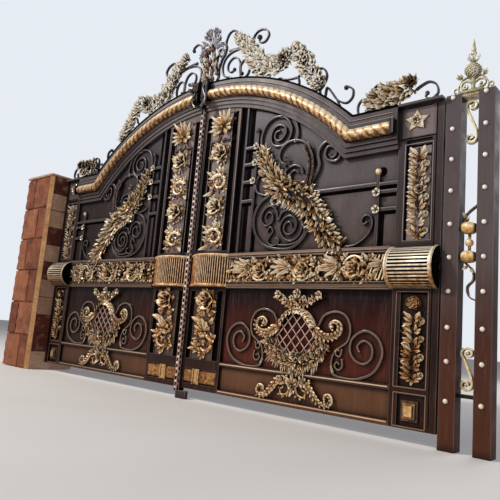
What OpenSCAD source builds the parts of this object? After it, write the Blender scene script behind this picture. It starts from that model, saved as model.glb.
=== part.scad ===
// Double-leaf driveway gate of wrought iron with an arched head, gilt
// ornament, a steel gate post on the right and a masonry pier on the left.
// Millimetres, +Z up, +X along the gate, the front faces -Y.
// The origin is the centre of the foot of the upright that carries the right leaf.

/* [Opening] */
// Width of one leaf, from its meeting edge to its hinge edge
leaf_w = 2369; // [2250:1:2450]
// Gap between the two leaves, filled by the centre strip
meet_gap = 54; // [50:1:70]
// Gap between a leaf and the post or pier that carries it
hinge_gap = 12; // [10:1:16]
// Height of the leaves' lower edge above the ground
ground_gap = 90; // [60:5:140]
// Thickness of the leaves' frame, front to back
leaf_t = 60; // [50:1:70]

/* [Arch] */
// Height of the flat ears above the leaf's lower edge
ear_h = 2236; // [2150:1:2300]
// Outer radius of the arch
arch_r = 2460; // [2400:5:2550]
// Height of the arch's crown above the leaf's lower edge
crown_h = 2918; // [2850:1:2980]
// Height of the arch's outer moulding
fascia_w = 86; // [70:1:100]
// Diameter of the gilt rope moulding
rope_d = 96; // [80:1:110]
// Height of the stepped ribs below the rope
ribs_w = 98; // [80:1:110]
// Height of the outer moulding on the flat ears, with its cap
ear_fascia_w = 118; // [100:1:130]
// Height of the stepped ribs below the rope on the flat ears
ear_ribs_w = 107; // [90:1:120]
// How far the arch's outer moulding stands out from the leaf's face
fascia_out = 45; // [20:1:60]

/* [Stiles and rails] */
// Width of the hinge stile
hinge_stile_w = 326; // [300:1:350]
// Width of the meeting stile
meet_stile_w = 463; // [430:1:490]
// Depth of the stiles' sunk panels
recess_d = 18; // [6:1:25]
// Height of the lower rail's top above the leaf's lower edge
low_rail_top = 268; // [250:1:300]
// Height of the kick panel's lower rail
low_rail_w = 35; // [25:1:45]
// Height of the rail on top of the kick panel
kick_rail_w = 33; // [25:1:45]
// Lower edge of the middle rail
mid_rail_low = 905; // [880:1:930]
// Upper edge of the middle rail
mid_rail_top = 1209; // [1190:1:1230]
// Thickness of the infill sheet
sheet_t = 4; // [2:1:8]
// Depth of the infill sheet behind the leaf's face
sheet_back = 25; // [20:1:32]

/* [Drums] */
// Radius of the roller drum on the hinge stile
roller_r = 145; // [130:1:150]
// Depth of the roller drum's axis behind the leaf's face
roller_back = 20; // [5:1:40]
// Length of the roller drum
roller_l = 337; // [320:1:340]
// How far the meeting stile's drum bulges from its face
capital_out = 100; // [70:1:115]
// Width of the meeting stile's drum
capital_w = 489; // [463:1:495]
// Flutes across the front of each drum
flutes = 13; // [7:2:19]

/* [Scrollwork] */
// Width of the scrolls' flat bar, seen from the front
bar_w = 13; // [8:1:18]
// Side of the square upright bars
grille_bar = 24; // [16:1:28]
// Diameter of the gilt balls on the bars
ball_d = 46; // [30:1:55]
// Thickness of the gilt leaves
leaf_relief = 26; // [12:1:36]
// Depth of the crest's scrolls, front to back
crest_t = 26; // [16:1:40]

/* [Posts] */
// Side of a post's square upright
upright_w = 104; // [90:1:110]
// Clear gap between the two uprights
upright_gap = 111; // [100:1:125]
// Width of the masonry pier
pier_w = 600; // [500:10:700]
// Depth of the masonry pier
pier_d = 600; // [500:10:700]
// Height of the pier's top above the posts' top
pier_rise = 54; // [20:2:120]
// How far the pier stands in front of the leaf's face
pier_front = 220; // [120:5:260]
// Thickness of the pier's cap
pier_cap_t = 30; // [20:1:60]
// Width of the pier's chamfered corner
pier_chamfer = 40; // [20:1:60]

/* [Hinges] */
// Number of hinges on a leaf
hinge_count = 3; // [2:1:4]
// Radius of a hinge barrel
barrel_r = 15; // [13:0.5:16]
// Radius of a hinge pin
pin_r = 8; // [6:0.5:10]
// Height of one hinge knuckle
knuckle_h = 60; // [40:1:80]

/* [Hidden] */
$fn = 48;

// Colours as they show on the object
iron = [0.16, 0.13, 0.12];
gilt = [0.78, 0.62, 0.32];
sheet_tone = [0.36, 0.29, 0.30];
stone = [0.62, 0.40, 0.33];
dark_iron = [0.12, 0.13, 0.18];

// Places along X, from the gate's centre line
edge_in = meet_gap / 2;
edge_out = edge_in + leaf_w;
post_face = edge_out + hinge_gap;
panel_in = edge_in + meet_stile_w;
panel_out = edge_out - hinge_stile_w;
panel_mid = (panel_in + panel_out) / 2;
post_mid = post_face + upright_w + upright_gap / 2;
post_end = post_face + 2 * upright_w + upright_gap;
origin_x = post_face + upright_w / 2;
origin_y = upright_w / 2;
post_top = ground_gap + ear_h;
pier_h = post_top + pier_rise;

// The ornament's drawings are scaled from the sizes that they were drawn for
drawn_panel_w = 1580;
drawn_arch_r = 2460;
panel_fit = (panel_out - panel_in) / drawn_panel_w;
crest_fit = arch_r / drawn_arch_r;

// Arch and ear levels, above the leaf's lower edge
arch_z = crown_h - arch_r;
fascia_r = arch_r - fascia_w;
rope_r = fascia_r - rope_d / 2;
rib_r = fascia_r - rope_d;
inner_r = rib_r - ribs_w;
cap_t = 17;
ear_cap_z = ear_h - cap_t;
ear_rope_top = ear_h - ear_fascia_w;
ear_rope_z = ear_rope_top - rope_d / 2;
ear_rib_top = ear_rope_top - rope_d;
ear_low = ear_rib_top - ear_ribs_w;
seat = 0.3;

// Sheet and hinge places along Y
sheet_y = sheet_back;
hinge_y = upright_w + barrel_r + 5;
hinge_x = edge_out - 8;
pin_clear = 0.08;

// Points on a circle of radius r, seen from the arch's centre
function arc_x(r, z) = sqrt(r * r - (z - arch_z) * (z - arch_z));
function arc_z(r, x) = arch_z + sqrt(r * r - x * x);
function reverse(l) = [for (i = [len(l) - 1:-1:0]) l[i]];

// A spiral about c, from radius r0 at angle a0 to radius r1 at angle a1
function spiral(c, r0, r1, a0, a1, n = 20) = [
    for (i = [0:n])
        let (t = i / n, a = a0 + (a1 - a0) * t, r = r0 + (r1 - r0) * t)
        c + r * [cos(a), sin(a)]
];

// A smooth curve through the points p, with n steps between each two
function blend(a, b, c, d, t) = 0.5 * (2 * b + (c - a) * t
    + (2 * a - 5 * b + 4 * c - d) * t * t + (3 * b - a - 3 * c + d) * t * t * t);
function smooth(p, n = 5) = concat(
    [for (i = [0:len(p) - 2]) for (k = [0:n - 1])
        blend(p[max(i - 1, 0)], p[i], p[i + 1], p[min(i + 2, len(p) - 1)], k / n)],
    [p[len(p) - 1]]);

// Direction of a path at its point i, and the path moved sideways by d
function way(p, i) =
    let (a = p[max(i - 1, 0)], b = p[min(i + 1, len(p) - 1)])
    (b - a) / norm(b - a);
function beside(p, d) = [
    for (i = [0:len(p) - 1]) let (t = way(p, i)) p[i] + d * [-t[1], t[0]]
];
function heading(p, i) = let (t = way(p, i)) atan2(t[1], t[0]);

// A drawing of the upper panel, from its lower corner beside the meeting stile
function in_upper(p) = [panel_in, mid_rail_top] + panel_fit * p;
module upper_drawing() {
    translate(in_upper([0, 0])) scale(panel_fit) children();
}

// A drawing of the lower panel, from the middle of its lower edge
function in_lower(p) = [panel_mid, low_rail_top] + panel_fit * p;
module lower_drawing() {
    translate(in_lower([0, 0])) scale(panel_fit) children();
}

// Drawings of the crest, from the arch's crown and from the ear over the hinge stile
function on_crown(p) = [0, crown_h] + crest_fit * p;
module crown_drawing() {
    translate(on_crown([0, 0])) scale(crest_fit) children();
}
function on_ear(p) = [panel_out, ear_h] + crest_fit * p;
module ear_drawing() {
    translate(on_ear([0, 0])) scale(crest_fit) children();
}

// A flat bar of width w that follows the path p, in the XZ plane
module ribbon(p, w = bar_w) {
    polygon(concat(beside(p, w / 2), reverse(beside(p, -w / 2))));
}

// Stands a drawing of the XZ plane up, from depth y0 to depth y1
module stand(y0, y1) {
    translate([0, y1, 0])
        rotate([90, 0, 0])
            linear_extrude(y1 - y0)
                children();
}

module disc(c, r) {
    translate(c) circle(r);
}

// A disc about the arch's centre, fine enough for its large radius
module arch_disc(r) {
    translate([0, arch_z]) circle(r, $fn = 480);
}

module plate(x0, x1, z0, z1) {
    polygon([[x0, z0], [x1, z0], [x1, z1], [x0, z1]]);
}

module block(x0, x1, y0, y1, z0, z1) {
    translate([x0, y0, z0]) cube([x1 - x0, y1 - y0, z1 - z0]);
}

module ball(x, y, z, d) {
    translate([x, y, z]) sphere(d = d);
}

// A leaf with a raised rib, flat at the back: root p, heading a, length l, width w
module acanthus(p, a, l, w, t = leaf_relief, back = 0) {
    translate([p[0], back, p[1]])
        rotate([0, -a, 0])
            hull()
                polyhedron(
                    points = [
                        [0, 0, 0], [l * 0.4, 0, w / 2], [l, 0, 0], [l * 0.4, 0, -w / 2],
                        [l * 0.45, -t, 0]
                    ],
                    faces = [[3, 2, 1, 0], [0, 1, 4], [1, 2, 4], [2, 3, 4], [3, 0, 4]]);
}

// A round flower of a ring of leaves about a boss
module blossom(p, r, petals = 6, t = leaf_relief, back = 0) {
    for (i = [0:petals - 1])
        acanthus(p, i * 360 / petals + 15, r, r * 0.9, t * 0.7, back);
    translate([p[0], back - t, p[1]])
        rotate([-90, 0, 0])
            cylinder(h = t, r1 = r * 0.3, r2 = r * 0.45, $fn = 8);
}

// Leaves on both sides of a path, over a flat stem
module garland(path, l, w, step = 2, t = leaf_relief, back = 0) {
    spine = [for (i = [0:2:len(path) - 1]) path[i]];
    stand(back - t * 0.5, back) ribbon(spine, w * 0.3);
    for (i = [0:step:len(path) - 1])
        for (s = [-1, 1])
            acanthus(path[i], heading(path, i) + s * 58, l, w, t, back);
    acanthus(path[len(path) - 1], heading(path, len(path) - 1), l, w, t, back);
}

// What lies under a leaf's top edge, which the crest stands on
module under_top() {
    arch_disc(arch_r);
    plate(edge_in, edge_out, 0, ear_h);
}

// The arch's band between two radii, with its flat run on the ear
module band(r0, r1, z0, z1) {
    intersection() {
        difference() {
            arch_disc(r1);
            arch_disc(r0);
        }
        plate(edge_in, panel_out, z0, crown_h + 1);
    }
    plate(arc_x(r0, z0), panel_out, z0, z1);
}

// Everything below the arch's inner edge, out to the hinge stile
module under_arch() {
    intersection() {
        plate(edge_in, panel_out, 0, crown_h);
        union() {
            arch_disc(inner_r);
            plate(edge_in, panel_out, 0, ear_low);
        }
    }
}

module upper_field() {
    intersection() {
        plate(panel_in, panel_out, mid_rail_top, crown_h);
        under_arch();
    }
}

module lower_field() {
    plate(panel_in, panel_out, low_rail_top, mid_rail_low);
}

// Masonry pier with a chamfer on the corner beside the leaf
module pier() {
    color(stone)
        linear_extrude(pier_h - pier_cap_t)
            polygon([
                [-post_face - pier_w, -pier_front],
                [-post_face - pier_chamfer, -pier_front],
                [-post_face, -pier_front + pier_chamfer],
                [-post_face, pier_d - pier_front],
                [-post_face - pier_w, pier_d - pier_front]
            ]);
}

module pier_cap() {
    color(stone)
        translate([0, 0, pier_h - pier_cap_t])
            linear_extrude(pier_cap_t)
                polygon([
                    [-post_face - pier_w - 10, -pier_front - 10],
                    [-post_face - pier_chamfer, -pier_front - 10],
                    [-post_face, -pier_front + pier_chamfer - 10],
                    [-post_face, pier_d - pier_front + 10],
                    [-post_face - pier_w - 10, pier_d - pier_front + 10]
                ]);
}

module post_uprights() {
    color(iron)
        for (x = [post_face, post_face + upright_w + upright_gap])
            block(x, x + upright_w, 0, upright_w, 0, post_top);
}

// Cap band across the gap, crossbars and the two gilt knobs with a ball between
knob_z = [post_top - 1111, post_top - 926];
knob_h = 64;
crossbar_z = ground_gap + 240;
crossbar_h = 24;
module post_bars() {
    x0 = post_face + upright_w;
    x1 = x0 + upright_gap;
    color(gilt) {
        block(x0, x1, 8, upright_w - 8, post_top - 26, post_top);
        for (z = knob_z)
            translate([post_mid, upright_w / 2, z - knob_h / 2])
                intersection() {
                    translate([0, 0, knob_h / 2]) sphere(r = upright_gap / 2);
                    cylinder(h = knob_h, r = upright_gap);
                }
        ball(post_mid, upright_w / 2, (knob_z[0] + knob_z[1]) / 2, 54);
        translate([post_mid, upright_w / 2, knob_z[0]])
            cylinder(h = knob_z[1] - knob_z[0], r = 10);
    }
    color(iron)
        block(x0, x1, 40, 64, crossbar_z, crossbar_z + crossbar_h);
}

// A tall S of two curls between the uprights
module post_s(z0, z1) {
    r = upright_gap / 2 - bar_w / 2;
    stand(upright_w / 2 - 14, upright_w / 2 + 14)
        intersection() {
            ribbon(concat(
                spiral([post_mid, z1 - upright_gap / 2], r * 0.35, r, -220, 180),
                spiral([post_mid, z0 + upright_gap / 2], r, r * 0.35, 0, -400)
            ));
            in_post(z0, z1);
        }
}

// The clear space between the uprights, from z0 to z1
module in_post(z0, z1) {
    x0 = post_face + upright_w;
    plate(x0 + seat, x0 + upright_gap - seat, z0 + seat, z1 - seat);
}

module post_scrolls() {
    r = upright_gap / 2 - bar_w / 2;
    color(gilt) {
        post_s(post_top - 366, post_top - 26);
        post_s(crossbar_z + crossbar_h, crossbar_z + 320);
        stand(upright_w / 2 - 12, upright_w / 2 + 12)
            intersection() {
                union() {
                    translate([post_mid, knob_z[1]])
                        ribbon(smooth([
                            [r + bar_w, 145], [-r * 0.3, 100], [-r, 60], [-r * 0.5, 0]
                        ]), 16);
                    translate([post_mid, knob_z[0]])
                        ribbon(smooth([
                            [-r * 0.6, 0], [4, -95], [-16, -175], [10, -275], [r + bar_w, -290]
                        ]), 16);
                }
                union() {
                    in_post(knob_z[0] - 315, knob_z[0] - knob_h / 2);
                    in_post(knob_z[1] + knob_h / 2, knob_z[1] + 200);
                }
            }
    }
}

// Spire on the post: twisted basket, collar and tip between two side curls
finial_base = 24;
basket_r = 58;
basket_z = 172;
module post_finial() {
    color(gilt)
        translate([post_mid, upright_w / 2, post_top]) {
            translate([-upright_gap / 2 - 24, -44, 0]) cube([upright_gap + 48, 88, finial_base]);
            translate([0, 0, finial_base])
                cylinder(h = basket_z - basket_r + 8 - finial_base, r1 = 20, r2 = 12);
            translate([0, 0, basket_z]) sphere(r = basket_r);
            translate([0, 0, basket_z + basket_r - 6]) cylinder(h = 74, r = 11);
            translate([0, 0, 288]) cylinder(h = 16, r = 20);
            translate([0, 0, 304]) cylinder(h = 100, r1 = 14, r2 = 2);
            for (s = [-1, 1])
                stand(-10, 10)
                    ribbon(spiral([s * 58, finial_base + 34], 34 + bar_w / 2, 14,
                        90 + s * 90, 90 - s * 290));
        }
}

// Height of each hinge's middle, evenly spread along the hinge stile
hinge_low = ground_gap + 210;
hinge_high = post_top - 276;
function hinge_z(i) = hinge_low + (hinge_high - hinge_low) * i / (hinge_count - 1);

// Fixed half of a hinge, with its pin; the arm reaches the post's rear face
module fixed_knuckle(z) {
    translate([hinge_x, hinge_y, z - knuckle_h]) {
        cylinder(h = knuckle_h - seat, r = barrel_r);
        cylinder(h = 2 * knuckle_h, r = pin_r);
    }
}

module hinge_brackets() {
    arm_y = upright_w;
    plate_t = 8;
    color(iron) {
        for (i = [0:hinge_count - 1]) {
            z = hinge_z(i);
            fixed_knuckle(z);
            block(hinge_x, post_face + 60, arm_y, arm_y + 12, z - knuckle_h, z - seat);
            mirror([1, 0, 0]) {
                fixed_knuckle(z);
                block(post_face - plate_t, post_face, hinge_y - 60, hinge_y + 60,
                    z - knuckle_h, z - seat);
                block(hinge_x, post_face - plate_t, hinge_y - 6, hinge_y + 6,
                    z - knuckle_h, z - seat);
            }
        }
    }
}

// Stop block on the ground in front of the closed leaves
stop_x = 26;
module ground_stop() {
    color(iron)
        block(stop_x, stop_x + 126, -50, -14, 0, ground_gap - 22);
}

// Hinge stile: sunk panels, a gilt stepped block at the foot, hinge knuckles behind
stile_edge = 60;
function hinge_panels() = [
    [18, 219], [low_rail_top, mid_rail_low - 16], [mid_rail_top + 26, ear_low + 54],
    [ear_low + 72, ear_h - 28]
];
module hinge_stile() {
    x0 = panel_out;
    x1 = edge_out;
    color(iron) {
        difference() {
            block(x0, x1, 0, leaf_t, 0, ear_cap_z);
            for (p = hinge_panels())
                block(x0 + stile_edge, x1 - stile_edge - 16, -1, recess_d, p[0], p[1]);
        }
        for (i = [0:hinge_count - 1])
            translate([0, 0, hinge_z(i) - ground_gap])
                difference() {
                    union() {
                        translate([hinge_x, hinge_y, 0]) cylinder(h = knuckle_h, r = barrel_r);
                        block(edge_out - 20, edge_out, leaf_t, hinge_y, 0, knuckle_h);
                    }
                    translate([hinge_x, hinge_y, -1])
                        cylinder(h = knuckle_h + 2, r = pin_r + pin_clear);
                }
    }
    color(gilt)
        for (k = [0:2])
            block(x0 + 88 + k * 14, x0 + 204 - k * 14, recess_d - 12 * (k + 1), recess_d - 12 * k,
                50 + k * 14, 179 - k * 14);
}

// Meeting stile: rises to the arch, with four sunk panels
function meet_panels() = [
    [50, 179], [low_rail_top, mid_rail_low - 25], [mid_rail_top + 34, crown_h - 642],
    [crown_h - 602, crown_h - 358]
];
module meeting_stile() {
    color(iron)
        difference() {
            stand(0, leaf_t)
                intersection() {
                    plate(edge_in, panel_in, 0, crown_h);
                    arch_disc(inner_r);
                }
            for (p = meet_panels())
                block(edge_in + 29, panel_in - 30, -1, recess_d, p[0], p[1]);
        }
    color(gilt) {
        for (p = [meet_panels()[1], meet_panels()[2], meet_panels()[3]])
            block(edge_in + 93, panel_in - 103, recess_d - 12, recess_d, p[0], p[1]);
        block(edge_in + 60, panel_in - 60, recess_d - 12, recess_d, 78, 151);
    }
}

// Lower rail, kick panel and the rail above it, as one section along the leaf
module bottom_rail() {
    web = sheet_back;
    color(iron)
        translate([panel_in, 0, 0])
            rotate([90, 0, 90])
                linear_extrude(panel_out - panel_in)
                    polygon([
                        [0, 0], [leaf_t, 0], [leaf_t, low_rail_w], [web + sheet_t, low_rail_w],
                        [web + sheet_t, low_rail_top - kick_rail_w],
                        [leaf_t, low_rail_top - kick_rail_w],
                        [leaf_t, low_rail_top], [0, low_rail_top],
                        [0, low_rail_top - kick_rail_w], [web, low_rail_top - kick_rail_w],
                        [web, low_rail_w], [0, low_rail_w]
                    ]);
}

// Middle rail: a sunk band between two stepped mouldings
rail_out = 20;
module mid_rail() {
    z0 = mid_rail_low;
    z1 = mid_rail_top;
    drum_in = edge_in + capital_w;
    drum_out = panel_out - roller_over;
    color(iron) {
        translate([panel_in, 0, 0])
            rotate([90, 0, 90])
                linear_extrude(panel_out - panel_in)
                    polygon([
                        [0, z0], [leaf_t, z0], [leaf_t, z1], [0, z1], [0, z1 - 39],
                        [8, z1 - 46], [8, z0 + 63], [0, z0 + 56]
                    ]);
        translate([drum_in, 0, 0])
            rotate([90, 0, 90])
                linear_extrude(drum_out - drum_in) {
                    polygon([
                        [0, z0], [-rail_out * 0.5, z0], [-rail_out * 0.5, z0 + 14],
                        [-rail_out, z0 + 14], [-rail_out, z0 + 34],
                        [-rail_out * 0.4, z0 + 42], [-rail_out * 0.4, z0 + 56], [0, z0 + 56]
                    ]);
                    polygon([
                        [0, z1], [-rail_out, z1], [-rail_out, z1 - 20],
                        [-rail_out * 0.4, z1 - 28], [-rail_out * 0.4, z1 - 39], [0, z1 - 39]
                    ]);
                }
    }
}

// Arch: outer moulding, three stepped ribs and the flat ear with its cap plate
ear_stop_w = 30;
clasp_w = 70;
clasp_out = rope_d + 10;
module arch_frame() {
    rib = ribs_w / 3;
    ear_rib = ear_ribs_w / 3;
    color(iron) {
        stand(0, leaf_t) band(inner_r, arch_r, ear_low, ear_cap_z);
        stand(-fascia_out, 0) band(fascia_r, arch_r, ear_rope_top, ear_cap_z);
        for (k = [0:2])
            stand(-12 * (k + 1), 0)
                band(inner_r + k * rib, inner_r + (k + 1) * rib - 4,
                    ear_low + k * ear_rib, ear_low + (k + 1) * ear_rib - 4);
        block(arc_x(arch_r, ear_h), edge_out, -fascia_out, leaf_t, ear_cap_z, ear_h);
        block(panel_out - ear_stop_w, panel_out, -rope_d - 6, 0, ear_rib_top - 4, ear_rope_top);
        stand(-clasp_out, 0)
            intersection() {
                plate(edge_in, edge_in + clasp_w, 0, crown_h);
                difference() {
                    arch_disc(arch_r);
                    arch_disc(rib_r - 24);
                }
            }
    }
}

// A round bar bent to radius bend in the XZ plane, from angle a on through turn degrees
module rope_arc(bend, r, a, turn) {
    rotate([90, 0, 0])
        rotate([0, 0, a])
            rotate_extrude(angle = turn)
                translate([bend, 0]) circle(r);
}

// Rope moulding: follows the arch, bends at the knee and runs flat along the ear
module arch_rope() {
    r = rope_d / 2 - seat;
    bend = rope_d / 2 + 2;
    knee_a = asin((ear_rope_z - arch_z + bend) / (rope_r + bend));
    top_a = acos((edge_in + clasp_w) / (rope_r - r));
    bend_x = (rope_r + bend) * cos(knee_a);
    joint_a = seat;
    color(gilt)
        translate([0, -rope_d / 2, 0]) {
            translate([0, 0, arch_z])
                rope_arc(rope_r, r, knee_a, top_a - knee_a);
            translate([bend_x, 0, ear_rope_z + bend])
                rope_arc(bend, r, knee_a + 180 + joint_a, 90 - knee_a - joint_a);
            translate([bend_x + seat, 0, ear_rope_z])
                rotate([0, 90, 0])
                    cylinder(h = panel_out - ear_stop_w - bend_x - seat, r = r);
        }
}

module infill_sheets() {
    color(sheet_tone)
        stand(sheet_y, sheet_y + sheet_t) {
            upper_field();
            lower_field();
        }
}

// Drums over the middle rail's ends: a lying roller and an upright capital
drum_z = (mid_rail_low + mid_rail_top) / 2;
roller_over = 20;
capital_r = (capital_w * capital_w / 4 + capital_out * capital_out) / (2 * capital_out);
flute_r = 11;
rim = 22;

module roller_drum() {
    x0 = panel_out - roller_over;
    intersection() {
        translate([x0, roller_back, drum_z])
            rotate([0, 90, 0])
                difference() {
                    union() {
                        cylinder(h = roller_l, r = roller_r - 8);
                        cylinder(h = rim, r = roller_r);
                        translate([0, 0, roller_l - rim]) cylinder(h = rim, r = roller_r);
                    }
                    for (i = [0:flutes - 1])
                        rotate([0, 0, 100 + 160 * (i + 0.5) / flutes])
                            translate([roller_r - 2, 0, rim + 4])
                                cylinder(h = roller_l - 2 * rim - 8, r = flute_r);
                }
        block(x0 - 1, x0 + roller_l + 1, -roller_r, 0, drum_z - roller_r - 1, drum_z + roller_r + 1);
    }
}

module capital_drum() {
    z0 = mid_rail_low + 8;
    h = mid_rail_top - mid_rail_low - 8;
    half = asin(capital_w / 2 / capital_r);
    intersection() {
        translate([edge_in + capital_w / 2, capital_r - capital_out, z0])
            difference() {
                union() {
                    cylinder(h = h, r = capital_r - 8);
                    cylinder(h = rim, r = capital_r);
                    translate([0, 0, h - rim]) cylinder(h = rim, r = capital_r);
                }
                for (i = [0:flutes - 1])
                    rotate([0, 0, 270 - half + 2 * half * (i + 0.5) / flutes])
                        translate([capital_r - 2, 0, rim + 4])
                            cylinder(h = h - 2 * rim - 8, r = flute_r);
            }
        block(edge_in, edge_in + capital_w, -capital_out - 1, 0, z0 - 1, z0 + h + 1);
    }
}

module drums() {
    color(gilt) {
        roller_drum();
        capital_drum();
    }
}

// Gilt foliage along the middle rail and in the stiles' panels
module panel_foliage() {
    band_z = (mid_rail_low + 56 + mid_rail_top - 39) / 2;
    band_in = edge_in + capital_w + 40;
    band_out = panel_out - roller_over - 120;
    vine = [for (i = [0:28]) [band_in + (band_out - band_in) * i / 28, band_z + 9 * sin(20 + i * 43)]];
    hinge_mid = (panel_out + stile_edge + edge_out - stile_edge - 16) / 2;
    meet_mid = (edge_in + 93 + panel_in - 103) / 2;
    top_bloom_z = crown_h - 488;
    meet_vine_low = mid_rail_top + 101;
    meet_vine_rise = (top_bloom_z - 280 - meet_vine_low) / 14;
    color(gilt) {
        garland(vine, 92, 70, 2, leaf_relief, 8);
        blossom([hinge_mid, mid_rail_top + 371], 84, 5, leaf_relief, recess_d);
        for (z = [mid_rail_top + 76, mid_rail_top + 476])
            garland([for (i = [0:4]) [hinge_mid, z + 30 * i]], 84, 56, 2, leaf_relief, recess_d);
        garland([for (i = [0:8]) [hinge_mid, low_rail_top + 72 + 50 * i]], 84, 56, 2,
            leaf_relief, recess_d);
        blossom([hinge_mid, ear_h - 146], 66, 5, leaf_relief, recess_d);
        garland([for (i = [0:14]) [meet_mid, meet_vine_low + meet_vine_rise * i]], 100, 70, 2,
            leaf_relief, recess_d - 12);
        garland([for (i = [0:6]) [meet_mid, low_rail_top + 82 + 66 * i]], 100, 70, 2,
            leaf_relief, recess_d - 12);
        blossom([meet_mid, top_bloom_z], 90, 5, leaf_relief, recess_d - 12);
    }
}

// Upright bars of the upper panel, their rungs and balls
bar_a = in_upper([237, 0])[0];
bar_b = in_upper([1429, 0])[0];
bar_a_top = crown_h - 618;
bar_b_top = ear_low - 163;
tie_z = in_upper([0, 471])[1];
tie_in = in_upper([870, 0])[0];
rungs_a = [for (drop = [444, 290, 130]) bar_a_top - drop];
rungs_b = [for (drop = [267, 129]) bar_b_top - drop];
module upper_bars() {
    h = grille_bar / 2;
    frame_x = in_upper([66, 0])[0];
    ball_y = sheet_y / 2 - 11;
    color(iron)
        stand(0, sheet_y)
            intersection() {
                upper_field();
                union() {
                    plate(frame_x, frame_x + grille_bar, mid_rail_top, crown_h);
                    plate(bar_a - h, bar_a + h, mid_rail_top, bar_a_top);
                    plate(bar_b - h, bar_b + h, mid_rail_top, bar_b_top);
                    for (z = concat(rungs_a, tie_z))
                        plate(frame_x + grille_bar, bar_a - h, z - h * 0.7, z + h * 0.7);
                    for (z = concat(rungs_b, tie_z))
                        plate(bar_b + h, panel_out, z - h * 0.7, z + h * 0.7);
                    plate(tie_in, bar_b - h, tie_z - h * 0.7, tie_z + h * 0.7);
                }
            }
    color(gilt) {
        ball(bar_a, ball_y, bar_a_top + ball_d / 2, ball_d);
        ball(bar_b, ball_y, bar_b_top + ball_d / 2, ball_d);
        for (z = rungs_a)
            translate([(frame_x + grille_bar + bar_a - h) / 2, 0, z])
                rotate([90, 0, 0])
                    cylinder(h = 16, r = 22);
        for (z = rungs_b)
            translate([(bar_b + h + panel_out) / 2, 0, z])
                rotate([90, 0, 0])
                    cylinder(h = 16, r = 22);
    }
}

// Scrolls of the upper panel, clear of the bars
module upper_scrolls() {
    h = grille_bar / 2;
    color(dark_iron)
        stand(0, sheet_y)
            difference() {
                intersection() {
                    upper_field();
                    upper_drawing() {
                        ribbon(spiral([463, 1035], 170, 50, -150, 330, 36));
                        ribbon(spiral([663, 803], 165, 60, 150, -230, 32));
                        ribbon(spiral([679, 660], 75, 30, 200, -160, 24));
                        ribbon(spiral([999, 787], 100, 36, 160, -300, 30));
                        ribbon(smooth([[800, 526], [840, 641], [905, 741], [999, 887]]), 20);
                        ribbon(spiral([567, 243], 290, 250, 110, 400, 44));
                        ribbon(spiral([439, 324], 90, 30, 40, 420, 26));
                        ribbon(spiral([663, 212], 120, 40, 60, -320, 26));
                        ribbon(spiral([488, 149], 55, 24, 0, 330, 20));
                        ribbon(spiral([326, 612], 80, 34, -60, 250, 22));
                        ribbon(smooth([[1405, 451], [1310, 211], [1382, 81], [1270, 7],
                            [1150, 41]]));
                    }
                }
                plate(bar_a - h, bar_a + h, mid_rail_top, bar_a_top);
                plate(bar_b - h, bar_b + h, mid_rail_top, bar_b_top + 8);
                plate(tie_in, bar_b, tie_z - grille_bar, tie_z + grille_bar);
            }
}

// Leafy garland that hangs across the upper panel, in front of its scrolls
garland_path = [
    [336, 886], [463, 680], [605, 522], [780, 442], [954, 315], [1050, 193], [1110, 121]
];
garland_rose = [470, 431];
module upper_garland() {
    path = smooth([for (p = garland_path) in_upper(p)], 4);
    color(gilt) {
        garland(path, 104 * panel_fit, 72 * panel_fit, 2);
        blossom(in_upper(garland_rose), 52 * panel_fit, 5);
        stand(-leaf_relief * 0.4, 0)
            upper_drawing()
                ribbon([garland_rose, garland_rose + [110, 110]], 16);
    }
}

// Scrolls of the lower panel, the same on both sides of the panel's middle
shield_z = in_lower([0, 274])[1];
module lower_curls() {
    ribbon(spiral([-575, 193], 165, 50, -80, 340, 36));
    ribbon(spiral([-319, 337], 140, 44, -170, -560, 34));
    ribbon(spiral([-401, 142], 36, 20, 250, -60, 14), 9);
    ribbon(spiral([-401, 82], 36, 20, 110, 420, 14), 9);
    ribbon(smooth([[-575, 28], [-470, 32], [-440, 152], [-458, 332]]));
    ribbon(smooth([[-410, 232], [-300, 172], [-214, 252]]));
}

module lower_scrolls() {
    color(gilt)
        stand(0, sheet_y)
            intersection() {
                lower_field();
                difference() {
                    lower_drawing() {
                        lower_curls();
                        mirror([1, 0]) lower_curls();
                    }
                    disc([panel_mid, crescent_z], crescent_r + seat);
                    plate(panel_mid - bouquet_w, panel_mid + bouquet_w, bouquet_z - 5,
                        bouquet_z + 31);
                }
            }
}

// Shield with a diamond lattice in the middle of the lower panel
shield_w = 400 * panel_fit;
shield_h = 440 * panel_fit;
lattice_pitch = 73 * panel_fit;
module shield_outline(inset) {
    r = shield_w / 2 - inset;
    translate([panel_mid, shield_z])
        intersection() {
            translate([-r, -shield_h / 2 + inset]) square([2 * r, shield_h - 2 * inset]);
            union() {
                translate([0, shield_h / 2 - shield_w / 2]) circle(r);
                translate([0, -shield_h / 2 + shield_w / 2]) circle(r);
                translate([-r, -shield_h / 2 + shield_w / 2])
                    square([2 * r, shield_h - shield_w]);
            }
        }
}

module shield_lattice() {
    count = ceil(shield_h / lattice_pitch);
    color(gilt)
        stand(-8, sheet_y)
            union() {
                difference() {
                    shield_outline(0);
                    shield_outline(22);
                }
                intersection() {
                    shield_outline(20);
                    translate([panel_mid, shield_z])
                        for (s = [-1, 1])
                            for (i = [-count:count])
                                rotate(s * 52)
                                    translate([-shield_h, i * lattice_pitch - 5])
                                        square([2 * shield_h, 10]);
                }
            }
}

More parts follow.
